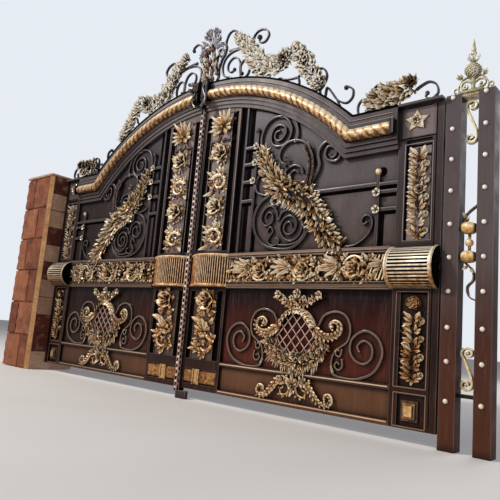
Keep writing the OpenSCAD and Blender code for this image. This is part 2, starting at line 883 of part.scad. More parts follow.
// Bouquet over the shield, wheat crescent round it and the base leaves
bouquet_w = 210 * panel_fit;
bouquet_z = in_lower([0, 512])[1];
crescent_r = 248 * panel_fit;
crescent_z = in_lower([0, 252])[1];
base_w = 350 * panel_fit;
base_z = 100 * panel_fit;
module lower_foliage() {
    k = panel_fit;
    color(gilt) {
        for (s = [-1, 1]) {
            blossom(in_lower([s * 190, 532]), 58 * k, 5);
            for (i = [0:3])
                acanthus(in_lower([s * (20 + i * 40), 522 + 4 * i]), 90 - s * (i * 18),
                    92 * k, 40 * k);
            for (i = [0:5])
                acanthus([panel_mid, crescent_z] + (crescent_r - 10) * [cos(270 + s * i * 18),
                    sin(270 + s * i * 18)], 270 + s * (i * 18 + 52), 104 * k, 42 * k);
            for (i = [0:5])
                acanthus([panel_mid + s * (10 + i * 58) * k, base_z + 10],
                    90 - s * (14 + i * 12), 120 * k, 56 * k);
        }
        stand(-leaf_relief * 0.4, sheet_y) {
            plate(panel_mid - bouquet_w, panel_mid + bouquet_w, bouquet_z, bouquet_z + 26);
            plate(panel_mid - base_w, panel_mid + base_w, base_z, base_z + 22);
            difference() {
                disc([panel_mid, crescent_z], crescent_r);
                disc([panel_mid, crescent_z], crescent_r - 20);
                plate(panel_mid - base_w, panel_mid + base_w, crescent_z - 50, mid_rail_low);
            }
        }
    }
}

// Scrolls on top of the arch, cut to its outer curve
crest_y = 20;
module crest_scrolls() {
    color(dark_iron)
        stand(crest_y, crest_y + crest_t)
            difference() {
                crown_drawing() {
                    ribbon(spiral([652, 332], 84, 26, 215, -190, 30));
                    ribbon(spiral([330, 142], 76, 30, -60, 290, 26));
                    ribbon(spiral([470, 34], 62, 26, 120, -230, 24));
                    ribbon(smooth([[330, 66], [400, 42], [470, 96]]));
                    ribbon(smooth([[583, 284], [560, 232], [500, 152]]));
                    ribbon(smooth([[268, 255], [350, 258], [430, 232], [540, 92],
                        [660, -58], [760, -178]]), 22);
                    ribbon(spiral([268, 167], 88, 88, 90, 250, 20));
                    ribbon(smooth([[238, 84], [222, 32], [240, -60]]));
                    ribbon(smooth([[368, 76], [400, 22], [420, -70]]));
                    ribbon(smooth([[900, -198], [980, -218], [1100, -278], [1190, -278],
                        [1230, -218]]));
                    ribbon(smooth([[1180, -138], [1240, -318], [1300, -450]]), 18);
                    ribbon(spiral([1367, -258], 48, 48, -120, 150, 18));
                    ribbon(smooth([[1343, -300], [1330, -348], [1345, -450]]));
                    ribbon(smooth([[1440, -555], [1470, -418], [1560, -358], [1625, -398]]));
                    disc([1625, -418], 22);
                    disc([652, 332], 24);
                }
                under_top();
                plate(0, edge_in + 5, 0, 2 * crown_h);
            }
    color(dark_iron)
        stand(crest_y, crest_y + crest_t)
            difference() {
                ear_drawing() {
                    ribbon(smooth([[-260, -10], [-258, 40], [-220, 244], [-140, 234],
                        [-140, 164], [-190, 164]]));
                    ribbon(smooth([[130, -10], [145, 60], [220, 134], [280, 84], [240, 34]]));
                    translate([-270, 0]) square([440, 14]);
                }
                under_top();
            }
}

crest_path = [
    [426, 356], [545, 189], [700, -1], [843, -49], [986, 22], [1093, 70], [1200, -49],
    [1295, -239], [1390, -358]
];
crest_rose = [986, 22];
end_crest_path = [[-280, 54], [-170, 144], [-60, 154], [84, 154], [160, 54]];
end_rose = [84, 154];
module crest_foliage() {
    k = crest_fit;
    rise = leaf_relief * 1.4;
    color(gilt) {
        difference() {
            union() {
                garland(smooth([for (p = crest_path) on_crown(p)], 3), 96 * k, 70 * k, 2,
                    leaf_relief, crest_y);
                blossom(on_crown(crest_rose), 74 * k, 6, rise, crest_y);
                garland(smooth([for (p = end_crest_path) on_ear(p)], 3), 84 * k, 60 * k, 2,
                    leaf_relief, crest_y);
                blossom(on_ear(end_rose), 60 * k, 6, rise, crest_y);
                stand(crest_y - leaf_relief * 0.5, crest_y)
                    ear_drawing()
                        translate([-240, 0]) square([380, 60]);
            }
            stand(-leaf_t, leaf_t) under_top();
        }
    }
}

// Strip that covers the meeting gap; it is carried by the left leaf
strip_w = 30;
strip_out = 34;
module centre_strip() {
    color(dark_iron) {
        stand(-strip_out, leaf_t) plate(-strip_w / 2, strip_w / 2, -30, arc_z(arch_r, 0) - 4);
        stand(-rope_d - 10, -strip_out)
            plate(-strip_w / 2, strip_w / 2, arc_z(fascia_r, 0), arc_z(arch_r, 0) - 4);
        stand(20, leaf_t) plate(-edge_in, -strip_w / 2, 0, arc_z(inner_r, edge_in));
    }
}

// Tall ornament over the crown, carried by the strip
module centre_half() {
    ribbon(spiral([157, 352], 67, 26, 200, -160, 14));
    ribbon(smooth([[94, 329], [66, 202], [20, 42], [10, 12]], 3), 18);
    ribbon(smooth([[140, 400], [190, 492], [270, 512], [300, 462]], 3));
    disc([300, 458], 20);
}

module centre_crest() {
    z0 = crown_h - 4;
    k = crest_fit;
    color(dark_iron)
        stand(crest_y, crest_y + crest_t) {
            difference() {
                crown_drawing() {
                    centre_half();
                    mirror([1, 0]) centre_half();
                    translate([-18, 0]) square([36, 402]);
                }
                arch_disc(arch_r + 6);
            }
            plate(-strip_w / 2, strip_w / 2, z0, crown_h + 8);
        }
    color(gilt) {
        for (i = [0:5])
            for (s = [-1, 1])
                acanthus(on_crown([0, 42 + 56 * i]), 90 - s * 40, 118 * k, 52 * k,
                    leaf_relief, crest_y);
        for (i = [-3:3])
            acanthus(on_crown([0, 372]), 90 + i * 24, (200 - 14 * abs(i)) * k, 46 * k,
                leaf_relief, crest_y);
        stand(crest_y - leaf_relief * 0.4, crest_y)
            crown_drawing()
                translate([-16, 22]) square([32, 360]);
    }
}

// Puts the gate's parts in the frame of the right post's foot
module on_ground() {
    translate([-origin_x, -origin_y, 0]) children();
}
module on_right() {
    on_ground() translate([0, 0, ground_gap]) children();
}
module on_left() {
    on_ground() translate([0, 0, ground_gap]) mirror([1, 0, 0]) children();
}

on_ground() pier();
on_ground() pier_cap();
on_ground() post_uprights();
on_ground() post_bars();
on_ground() post_scrolls();
on_ground() post_finial();
on_ground() hinge_brackets();
on_ground() ground_stop();
on_right() hinge_stile();  // right_hinge_stile
on_right() meeting_stile();  // right_meeting_stile
on_right() bottom_rail();  // right_bottom_rail
on_right() mid_rail();  // right_mid_rail
on_right() arch_frame();  // right_arch_frame
on_right() arch_rope();  // right_arch_rope
on_right() infill_sheets();  // right_infill_sheets
on_right() drums();  // right_drums
on_right() panel_foliage();  // right_panel_foliage
on_right() upper_bars();  // right_upper_bars
on_right() upper_scrolls();  // right_upper_scrolls
on_right() upper_garland();  // right_upper_garland
on_right() lower_scrolls();  // right_lower_scrolls
on_right() shield_lattice();  // right_shield_lattice
on_right() lower_foliage();  // right_lower_foliage
on_right() crest_scrolls();  // right_crest_scrolls
on_right() crest_foliage();  // right_crest_foliage
on_left() hinge_stile();  // left_hinge_stile
on_left() meeting_stile();  // left_meeting_stile
on_left() bottom_rail();  // left_bottom_rail
on_left() mid_rail();  // left_mid_rail
on_left() arch_frame();  // left_arch_frame
on_left() arch_rope();  // left_arch_rope
on_left() infill_sheets();  // left_infill_sheets
on_left() drums();  // left_drums
on_left() panel_foliage();  // left_panel_foliage
on_left() upper_bars();  // left_upper_bars
on_left() upper_scrolls();  // left_upper_scrolls
on_left() upper_garland();  // left_upper_garland
on_left() lower_scrolls();  // left_lower_scrolls
on_left() shield_lattice();  // left_shield_lattice
on_left() lower_foliage();  // left_lower_foliage
on_left() crest_scrolls();  // left_crest_scrolls
on_left() crest_foliage();  // left_crest_foliage
on_right() centre_strip();
on_right() centre_crest();
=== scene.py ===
"""Looks of the arched driveway gate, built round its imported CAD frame.

Ornament is drawn in the gate's own coordinates, in metres: x from the centre line, y back from
the leaves' front face and z up from their lower edge. The right leaf is drawn, and the left one
is its mirror image.
"""

import math

import bmesh
import bpy
import numpy as np
from mathutils import Matrix, Vector


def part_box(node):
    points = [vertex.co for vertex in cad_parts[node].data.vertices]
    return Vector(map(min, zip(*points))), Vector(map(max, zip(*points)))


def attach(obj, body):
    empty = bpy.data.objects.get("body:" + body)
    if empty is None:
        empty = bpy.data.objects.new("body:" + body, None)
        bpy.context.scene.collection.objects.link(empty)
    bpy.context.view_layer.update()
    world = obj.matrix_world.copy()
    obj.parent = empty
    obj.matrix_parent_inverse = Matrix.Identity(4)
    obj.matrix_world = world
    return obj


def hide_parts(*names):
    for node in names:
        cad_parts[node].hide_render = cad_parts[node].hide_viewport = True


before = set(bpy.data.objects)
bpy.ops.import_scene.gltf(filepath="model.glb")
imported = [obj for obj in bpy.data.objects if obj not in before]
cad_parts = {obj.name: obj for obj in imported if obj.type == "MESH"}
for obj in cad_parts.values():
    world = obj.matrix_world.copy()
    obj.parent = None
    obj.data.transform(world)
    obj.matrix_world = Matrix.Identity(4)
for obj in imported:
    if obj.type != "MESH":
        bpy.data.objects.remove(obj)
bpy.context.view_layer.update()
rng = np.random.default_rng(7)

# The gate's own coordinates in the frame of the CAD model
CENTRE_X = (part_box("right_meeting_stile")[0].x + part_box("left_meeting_stile")[1].x) / 2
FACE_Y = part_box("right_meeting_stile")[0].y
LOW_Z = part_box("right_meeting_stile")[0].z
ORIGIN = np.array([CENTRE_X, FACE_Y, LOW_Z])


def gate_box(node):
    """The lowest and highest corner of a CAD node in the gate's coordinates."""
    low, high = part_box(node)
    return np.array(low) - ORIGIN, np.array(high) - ORIGIN


# Main places of the right leaf: its panels, the flat ear, the circles of the arch and of the rope on
# it, and the middle rail
EDGE_IN = gate_box("right_meeting_stile")[0][0]
PANEL_IN, PANEL_OUT = gate_box("right_infill_sheets")[0][0], gate_box("right_infill_sheets")[1][0]
PANEL_MID = (PANEL_IN + PANEL_OUT) / 2
EAR_CAP = 0.017
EAR_Z = gate_box("right_hinge_stile")[1][2] + EAR_CAP
EAR_X = 1.7
CROWN_Z = gate_box("right_arch_frame")[1][2]
ARCH_R = 2.46
ARCH_Z = CROWN_Z - ARCH_R + 0.0002
ROPE_D = 0.096
ROPE_R = 2.326
EAR_ROPE_Z = 2.07
RAIL_LOW, RAIL_TOP = gate_box("right_mid_rail")[0][2], gate_box("right_mid_rail")[1][2]
DRUM_Z = (RAIL_LOW + RAIL_TOP) / 2

# Depths of the sheets, of ornament let into them, and of the stiles' sunk panels and plates
SHEET_Y = 0.025
SEAT_Y = SHEET_Y - 0.0005
RECESS_Y = 0.018
PLATE_Y = 0.006

# The post: its middle, its inner side, an upright's width and the gap between the uprights
POST_MID = 2.5675
POST_IN = 2.408
UPRIGHT_W = 0.104
POST_GAP = 0.111


class Shape:
    """Points and faces gathered into one mesh, with a relief value for each point."""

    def __init__(self):
        self.points, self.quads, self.tris, self.relief = [], [], [], []
        self.count = 0

    def add(self, points, faces, relief=0.5):
        """Adds points with their faces, all of three or all of four corners."""
        points = np.asarray(points, float).reshape(-1, 3)
        faces = np.asarray(faces, int)
        (self.quads if faces.shape[1] == 4 else self.tris).append(faces + self.count)
        self.points.append(points)
        self.relief.append(np.broadcast_to(np.asarray(relief, float).ravel(), (len(points),)))
        self.count += len(points)

    def fan(self, ring, tip, relief):
        """Closes a ring of points with triangles to one point."""
        n = len(ring)
        i = np.arange(n)
        faces = np.stack([i, (i + 1) % n, np.full(n, n)], -1)
        self.add(np.vstack([ring, tip]), faces, relief)

    def build(self, name, material, body, slot, *nodes, mirrored=False, placed=True, crease=42):
        """Makes the piece: what it rides on, its material and the CAD nodes it replaces. The slot argument is
        not used.
        """
        points = np.vstack(self.points)
        if mirrored:
            points = points * [-1, 1, 1]
        if placed:
            points = points + ORIGIN
        faces = [*self.quads, *self.tris]
        loops = np.concatenate([f.ravel() for f in faces])
        sizes = np.concatenate([np.full(len(f), f.shape[1]) for f in faces])
        mesh = bpy.data.meshes.new(name)
        mesh.vertices.add(len(points))
        mesh.vertices.foreach_set("co", points.astype(np.float32).ravel())
        mesh.loops.add(len(loops))
        mesh.loops.foreach_set("vertex_index", loops.astype(np.int32))
        mesh.polygons.add(len(sizes))
        starts = np.concatenate([[0], np.cumsum(sizes)[:-1]])
        mesh.polygons.foreach_set("loop_start", starts.astype(np.int32))
        mesh.update(calc_edges=True)
        relief = mesh.attributes.new("relief", "FLOAT", "POINT")
        relief.data.foreach_set("value", np.concatenate(self.relief).astype(np.float32))
        work = bmesh.new()
        work.from_mesh(mesh)
        bmesh.ops.remove_doubles(work, verts=work.verts, dist=1e-6)
        bmesh.ops.recalc_face_normals(work, faces=work.faces)
        work.to_mesh(mesh)
        work.free()
        mesh.polygons.foreach_set("use_smooth", np.ones(len(mesh.polygons), bool))
        mesh.set_sharp_from_angle(angle=math.radians(crease))
        mesh.materials.append(material)
        piece = bpy.data.objects.new(name, mesh)
        bpy.context.scene.collection.objects.link(piece)
        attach(piece, body)
        if nodes:
            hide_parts(*nodes)
        return piece


def grid_faces(rows, cols, wrap_cols=False):
    """The four-sided faces between the points of a grid."""
    r, c = np.meshgrid(np.arange(rows - 1), np.arange(cols if wrap_cols else cols - 1), indexing="ij")
    r1, c1 = (r + 1) % rows, (c + 1) % cols
    return np.stack([r * cols + c, r1 * cols + c, r1 * cols + c1, r * cols + c1], -1).reshape(-1, 4)


# Paths in the XZ plane


def spiral(centre, r0, r1, a0, a1, n):
    """A spiral from radius r0 at angle a0 to radius r1 at angle a1, in degrees."""
    t = np.linspace(0, 1, n + 1)
    a = np.radians(a0 + (a1 - a0) * t)
    r = r0 + (r1 - r0) * t
    return np.stack([centre[0] + r * np.cos(a), centre[1] + r * np.sin(a)], -1)


def mm(*values):
    """Points (x, z) in metres, from numbers in millimetres."""
    return np.reshape(values, (-1, 2)) / 1000


def smooth(points, n=8):
    """A smooth curve through the points, with n steps between each two."""
    p = np.asarray(points, float)
    p = np.vstack([2 * p[0] - p[1], p, 2 * p[-1] - p[-2]])
    t = np.linspace(0, 1, n, endpoint=False)[:, None]
    parts = []
    for i in range(1, len(p) - 2):
        a, b, c, d = p[i - 1], p[i], p[i + 1], p[i + 2]
        square, cube = 2 * a - 5 * b + 4 * c - d, 3 * b - a - 3 * c + d
        parts.append(0.5 * (2 * b + (c - a) * t + square * t**2 + cube * t**3))
    return np.vstack([*parts, p[-2]])


def curve(*values):
    """A smooth curve through points in millimetres."""
    return smooth(mm(*values))


def even(path, step):
    """The same path with points a step apart."""
    path = np.asarray(path, float)
    gaps = np.linalg.norm(np.diff(path, axis=0), axis=1)
    s = np.concatenate([[0], np.cumsum(gaps)])
    n = max(2, int(round(s[-1] / step)) + 1)
    at = np.linspace(0, s[-1], n)
    return np.stack([np.interp(at, s, path[:, k]) for k in range(path.shape[1])], -1)


def headings(path):
    """The direction of a path at each of its points, in degrees."""
    t = np.gradient(np.asarray(path, float), axis=0)
    return np.degrees(np.arctan2(t[:, 1], t[:, 0]))


# Bars, rods and turned forms


def sweep(shape, path, section, depth=0.0, relief=0.5):
    """Carries a closed section along an XZ path. Section points are (across, y); it may be one
    section or one for each point of the path."""
    path = np.asarray(path, float)
    t = np.gradient(path, axis=0)
    t /= np.linalg.norm(t, axis=1)[:, None] + 1e-12
    across = np.stack([-t[:, 1], t[:, 0]], -1)
    section = np.asarray(section, float)
    if section.ndim == 2:
        section = np.broadcast_to(section, (len(path), *section.shape))
    xz = path[:, None, :] + section[..., :1] * across[:, None, :]
    points = np.stack([xz[..., 0], section[..., 1] + depth, xz[..., 1]], -1)
    rows, cols = points.shape[:2]
    shape.add(points, grid_faces(rows, cols, wrap_cols=True), relief)
    for ring in (points[0], points[-1]):
        shape.fan(ring, ring.mean(0), np.asarray(relief, float).mean())


def flat_section(width, y_front, y_back, edge=0.004):
    """A flat bar's section with rounded front edges."""
    w, e = width / 2, min(edge, width * 0.3)
    half = [[-w, y_back], [-w, y_front + e], [-w + e * 0.3, y_front + e * 0.3], [-w + e, y_front]]
    return np.array(half + [[-x, y] for x, y in reversed(half)])


def scroll(shape, path, width, y_front, y_back, taper=0.75, step=0.012, relief=0.6):
    """A forged scroll: a flat bar that thins towards its far end."""
    path = even(path, step)
    k = np.linspace(1, taper, len(path))[:, None, None]
    section = flat_section(width, y_front, y_back)[None] * np.concatenate([k, np.ones_like(k)], -1)
    sweep(shape, path, section, relief=relief)


def rod(shape, points, radius, sides, relief=0.5):
    """A round bar along points in space; the radius may change along it."""
    p = np.asarray(points, float)
    t = np.gradient(p, axis=0)
    t /= np.linalg.norm(t, axis=1)[:, None] + 1e-12
    guide = np.array([0.0, 1.0, 0.0]) if abs(t[:, 1]).max() < 0.9 else np.array([1.0, 0.0, 0.0])
    a = np.cross(t, guide)
    a /= np.linalg.norm(a, axis=1)[:, None] + 1e-12
    b = np.cross(t, a)
    r = np.broadcast_to(np.asarray(radius, float), (len(p),))[:, None, None]
    turn = np.linspace(0, 2 * np.pi, sides, endpoint=False)
    ring = np.cos(turn)[None, :, None] * a[:, None] + np.sin(turn)[None, :, None] * b[:, None]
    points = p[:, None] + r * ring
    shape.add(points, grid_faces(len(p), sides, wrap_cols=True), relief)
    for ring in (points[0], points[-1]):
        shape.fan(ring, ring.mean(0), relief)


def turned(shape, centre, profile, axis="z", sides=24, relief=0.5):
    """A turned form: profile points are (radius, distance along the axis)."""
    profile = np.asarray(profile, float)
    turn = np.linspace(0, 2 * np.pi, sides, endpoint=False)
    r, h = profile[:, :1], np.broadcast_to(profile[:, 1:], (len(profile), sides))
    u, v = r * np.cos(turn), r * np.sin(turn)
    order = {"z": (u, v, h), "y": (u, h, v)}[axis]
    points = np.stack(order, -1) + np.asarray(centre, float)
    shape.add(points, grid_faces(len(profile), sides, wrap_cols=True), relief)


def ball(shape, centre, radius, rows=9, sides=16, relief=0.7, squash=1.0):
    """A ball; `squash` scales its depth."""
    a = np.linspace(-np.pi / 2, np.pi / 2, rows)
    profile = np.stack([radius * np.cos(a), squash * radius * np.sin(a)], -1)
    turned(shape, centre, profile, "y", sides, relief)


def box(shape, x0, x1, y0, y1, z0, z1, edge=0.0, relief=0.5):
    """A block whose front face (at y0) has a bevel of the given size."""
    outer = [(x0, z0), (x1, z0), (x1, z1), (x0, z1)]
    inner = [(x0 + edge, z0 + edge), (x1 - edge, z0 + edge), (x1 - edge, z1 - edge), (x0 + edge, z1 - edge)]
    rings = ((outer, y1), (outer, y0 + edge), (inner, y0))
    points = np.array([[(x, y, z) for x, z in ring] for ring, y in rings])
    shape.add(points, grid_faces(3, 4, wrap_cols=True), relief)
    shape.add(points[0], [[3, 2, 1, 0]], relief)
    shape.add(points[2], [[0, 1, 2, 3]], relief)


# Leaves and flowers


def leaf_form(
    rows=11, lobes=3, notch=0.3, belly=0.72, rise=0.16, curl=0.1, ridge=0.07, point=1.0, fine=False,
):
    """A closed leaf one unit long, as (along, across, out) points, its relief and its faces.

    Its width is notched into lobes, `belly` moves the widest place, and its spine rises and curls
    at the tip. A fine leaf has seven points across it, a plain one five."""
    u = np.linspace(0, 1, rows)[:, None]
    v = np.array([-1, -0.68, -0.34, 0, 0.34, 0.68, 1] if fine else [-1, -0.52, 0, 0.52, 1])[None, :]
    m = v.shape[1] // 2
    veins = np.cos(3 * np.pi * v) if fine else np.array([[0.6, -0.9, 1.0, -0.9, 0.6]])
    width = np.sin(np.pi * u**belly) ** (0.75 * point) * (1 - 0.2 * u)
    if lobes:
        width = width * (1 - notch * (1 - np.abs(np.cos(np.pi * lobes * u)) ** 0.6))
    width = width * 0.5 + 0.012
    spine = rise * np.sin(np.pi * np.minimum(u * 0.85, 1)) + curl * u**2.5
    fold = ridge * (1 - np.abs(v)) ** 1.5 - 0.3 * (v * width) ** 2 / 0.25
    vein = 0.018 * veins * (1 - u)
    out = spine + fold * (1 - 0.5 * u) + vein
    lean = 0.12 * np.abs(v) * width
    front = np.stack([u + lean + 0 * v, v * width, out], -1)
    side = v[:, [m + 1, m - 1]]
    back = np.stack([u + 0 * side, side * width, spine - 0.05 + 0 * side], -1)
    points = np.concatenate([front, back], 1)
    tone = 0.35 + 0.45 * u + 0.25 * veins * (1 - 0.5 * u) + 0.15 * (np.abs(v) > 0.9)
    relief = np.concatenate([tone, np.zeros((rows, 2))], 1)
    cols = points.shape[1]
    return points.reshape(-1, 3), relief.ravel(), grid_faces(rows, cols, wrap_cols=True)


ACANTHUS = leaf_form(fine=True)
PLUME = leaf_form(fine=True, rows=9, lobes=0, belly=0.8, rise=0.12, curl=0.16, ridge=0.09)
PETAL = leaf_form(rows=8, lobes=0, belly=1.25, rise=0.1, curl=0.22, ridge=-0.04, point=0.55)
SPIKE = leaf_form(rows=6, lobes=0, belly=0.7, rise=0.05, curl=0.04, ridge=0.1)
BLADE = leaf_form(rows=7, lobes=0, belly=0.75, rise=0.1, curl=0.1, ridge=0.14)
LEAFLET = leaf_form(rows=6, lobes=0, belly=0.85, rise=0.12, curl=0.2, ridge=0.12)
LOBED = leaf_form(rows=8, lobes=2, notch=0.36, belly=0.8, rise=0.14, curl=0.18, ridge=0.1)


def leaves(shape, form, at, y, angle, length, width, pitch, roll=0.0, tone=0.0):
    """Places copies of a leaf: at is (x, z) for each, angle its heading in degrees."""
    points, relief, faces = form
    at = np.atleast_2d(np.asarray(at, float))
    k = len(at)
    y, angle, length, width, pitch, roll, tone = (
        np.broadcast_to(np.asarray(q, float), (k,)) for q in (y, angle, length, width, pitch, roll, tone)
    )
    a, p, r = (np.radians(q)[:, None] for q in (angle, pitch, roll))
    flat = np.concatenate([np.cos(a), 0 * a, np.sin(a)], 1)
    front = np.array([[0.0, -1.0, 0.0]])
    side = np.concatenate([-np.sin(a), 0 * a, np.cos(a)], 1)
    along = np.cos(p) * flat + np.sin(p) * front
    out = -np.sin(p) * flat + np.cos(p) * front
    across = np.cos(r) * side + np.sin(r) * out
    out = np.cos(r) * out - np.sin(r) * side
    root = np.stack([at[:, 0], y, at[:, 1]], -1)
    made = (
        root[:, None]
        + points[None, :, :1] * (length[:, None] * along)[:, None]
        + points[None, :, 1:2] * (width[:, None] * across)[:, None]
        + points[None, :, 2:] * (np.minimum(length, width * 1.6)[:, None] * out)[:, None]
    )
    n = len(points)
    faces = (faces[None] + n * np.arange(k)[:, None, None]).reshape(-1, 4)
    shape.add(made, faces, (relief[None] + tone[:, None]).ravel())


def whorl(shape, form, at, y, count, turn, length, width, pitch, roll=0.0, tone=0.0):
    """Leaves set evenly round one point, the first of them heading to `turn`."""
    angle = turn + 360 / count * np.arange(count)
    leaves(shape, form, np.repeat([at], count, 0), y, angle, length, width, pitch, roll, tone)


# The petals in each row of a rose and the row's size
PETAL_ROWS = ((6, 1.0), (5, 0.72), (4, 0.46))


def rose(shape, at, y, r, layers, turn=0.0):
    """A flower of two or three rows of petals about a boss."""
    for k, (count, scale) in enumerate(PETAL_ROWS[:layers]):
        long = r * scale
        whorl(
            shape, PETAL, at, y - 0.1 * r * k, count, turn + 37 * k, long, long * 1.15, 8 + 24 * k, 0,
            0.06 * k,
        )
    ball(shape, (at[0], y - 0.25 * r, at[1]), r * 0.16, 6, 10, 0.9)


def leaf_mass(shape, spine, y, wide, length, width, step, columns, bulge, form, spread, pitch, scatter=13):
    """A rounded mass of leaves over a spine. `wide` is its width along the spine, `spread` how far
    the outer leaves turn away from it and `scatter` how unevenly they lie."""
    path = even(spine, step)
    n = len(path)
    head = headings(path)
    ahead = np.stack([np.cos(np.radians(head)), np.sin(np.radians(head))], -1)
    normal = np.stack([-ahead[:, 1], ahead[:, 0]], -1)
    wide = np.interp(np.linspace(0, 1, n), np.linspace(0, 1, len(wide)), wide)
    for u in np.linspace(-1, 1, columns):
        shift = rng.normal(0, 0.22 * step, (n, 2)) + ahead * rng.uniform(0, 0.5) * step
        at = path + normal * (u * (wide / 2 - 0.35 * length))[:, None] + shift
        depth = y - bulge * wide / 2 * np.sqrt(1 - 0.85 * u * u) * 0.5
        leaves(
            shape, form, at, depth + rng.normal(0, 0.002, n),
            head + u * spread + rng.normal(0, scatter, n),
            length * rng.uniform(0.75, 1.15, n), width * rng.uniform(0.8, 1.2, n),
            pitch + rng.normal(0, 8, n), u * 25 + rng.normal(0, 12, n), rng.uniform(-0.3, 0.12, n),
        )


def acanthus_scroll(shape, path, y, w0, w1, length, width, step, side, relief):
    """A half-round stem along a path with leaves that peel off its outer side."""
    path = even(path, 0.01)
    k = np.linspace(w0, w1, len(path))[:, None]
    a = np.radians(np.linspace(0, 180, 7))[None]
    section = np.stack([np.cos(a) * k / 2, -np.sin(a) * k / 2 + 0 * k], -1)
    sweep(shape, path, section, y, relief)
    at = even(path, step)
    fade = np.linspace(1, 0.45, len(at))
    leaves(
        shape, ACANTHUS, at, y - 0.3 * w0, headings(at) + side * 48, length * fade, width * fade,
        pitch=12, roll=side * 12, tone=rng.uniform(-0.1, 0.1, len(at)),
    )


# Materials


class Nodes:
    """A short way to write a material's nodes."""

    def __init__(self, name, roughness=0.5, metallic=0.0, coat=0.0, specular=0.5):
        self.material = bpy.data.materials.new(name)
        self.material.use_nodes = True
        self.tree = self.material.node_tree
        self.shader = self.tree.nodes["Principled BSDF"]
        self.shader.inputs["Roughness"].default_value = roughness
        self.shader.inputs["Metallic"].default_value = metallic
        self.shader.inputs["Coat Weight"].default_value = coat
        self.shader.inputs["Coat Roughness"].default_value = 0.12
        self.shader.inputs["Specular IOR Level"].default_value = specular
        self.place = self.node("ShaderNodeTexCoord").outputs["Object"]

    def node(self, kind, **values):
        made = self.tree.nodes.new(kind)
        for key, value in values.items():
            setattr(made, key, value)
        return made

    def link(self, source, target):
        self.tree.links.new(source, target)

    def noise(self, scale, detail, rough=0.55, stretch=(1, 1, 1)):
        mapping = self.node("ShaderNodeMapping")
        mapping.inputs["Scale"].default_value = stretch
        self.link(self.place, mapping.inputs["Vector"])
        made = self.node("ShaderNodeTexNoise")
        made.inputs["Scale"].default_value = scale
        made.inputs["Detail"].default_value = detail
        made.inputs["Roughness"].default_value = rough
        self.link(mapping.outputs[0], made.inputs["Vector"])
        return made.outputs["Fac"]

    def axis(self, index):
        parts = self.node("ShaderNodeSeparateXYZ")
        self.link(self.place, parts.inputs[0])
        return parts.outputs[index]

    def relief(self):
        return self.node("ShaderNodeAttribute", attribute_name="relief").outputs["Fac"]

    def math(self, operation, a, b=None):
        made = self.node("ShaderNodeMath", operation=operation)
        for socket, value in zip(made.inputs, (a, b)):
            if value is None:
                continue
            if isinstance(value, (int, float)):
                socket.default_value = value
            else:
                self.link(value, socket)
        return made.outputs[0]

    def ramp(self, value, stops):
        made = self.node("ShaderNodeValToRGB")
        elements = made.color_ramp.elements
        while len(elements) < len(stops):
            elements.new(0.5)
        for element, (at, colour) in zip(elements, stops):
            element.position = at
            element.color = (*colour, 1)
        self.link(value, made.inputs[0])
        return made.outputs[0]

    def mix(self, factor, a, b, blend="MIX"):
        made = self.node("ShaderNodeMix", data_type="RGBA", blend_type=blend)
        for socket, value in ((made.inputs[0], factor), (made.inputs[6], a), (made.inputs[7], b)):
            if isinstance(value, (int, float)):
                socket.default_value = value
            elif isinstance(value, tuple):
                socket.default_value = (*value, 1)
            else:
                self.link(value, socket)
        return made.outputs[2]

    def remap(self, value, a, b, c=0.0, d=1.0):
        made = self.node("ShaderNodeMapRange")
        for socket, number in zip(made.inputs[1:5], (a, b, c, d)):
            socket.default_value = number
        self.link(value, made.inputs[0])
        return made.outputs[0]

    def hollows(self, distance, low, high):
        """0 in hollows and 1 in the open."""
        made = self.node("ShaderNodeAmbientOcclusion", samples=5)
        made.inputs["Distance"].default_value = distance
        return self.remap(made.outputs["AO"], low, high)

    def edges(self, distance):
        """1 along outer edges and 0 elsewhere."""
        made = self.node("ShaderNodeAmbientOcclusion", samples=4, inside=True)
        made.inputs["Distance"].default_value = distance
        return self.remap(made.outputs["AO"], 0.95, 0.6)

    def colour(self, source):
        self.link(source, self.shader.inputs["Base Color"])

    def roughness(self, source):
        self.link(source, self.shader.inputs["Roughness"])

    def bump(self, height, strength, distance):
        made = self.node("ShaderNodeBump")
        made.inputs["Strength"].default_value = strength
        made.inputs["Distance"].default_value = distance
        self.link(height, made.inputs["Height"])
        self.link(made.outputs[0], self.shader.inputs["Normal"])


def shade(*rgb):
    """A colour as it is seen, 0 to 255, in the shader's own numbers."""
    c = np.array(rgb) / 255
    return tuple(float(x) for x in np.where(c > 0.04045, ((c + 0.055) / 1.055) ** 2.4, c / 12.92))


# Tones are given from the ground to this height
TOP = 3.2

# What is laid over an enamel: painted shade far away, painted reflection in patches and in streaks,
# brush marks, and painted shade in hollows and in gaps
FAR_SHADE = shade(24, 13, 10)
REFLECTION_PATCH_TONE, REFLECTION_STREAK_TONE, BRUSHED = shade(40, 24, 20), shade(104, 66, 46), shade(150, 128, 118)
HOLLOW_SHADE, SHADE_BLACK = shade(9, 5, 5), shade(8, 4, 4)


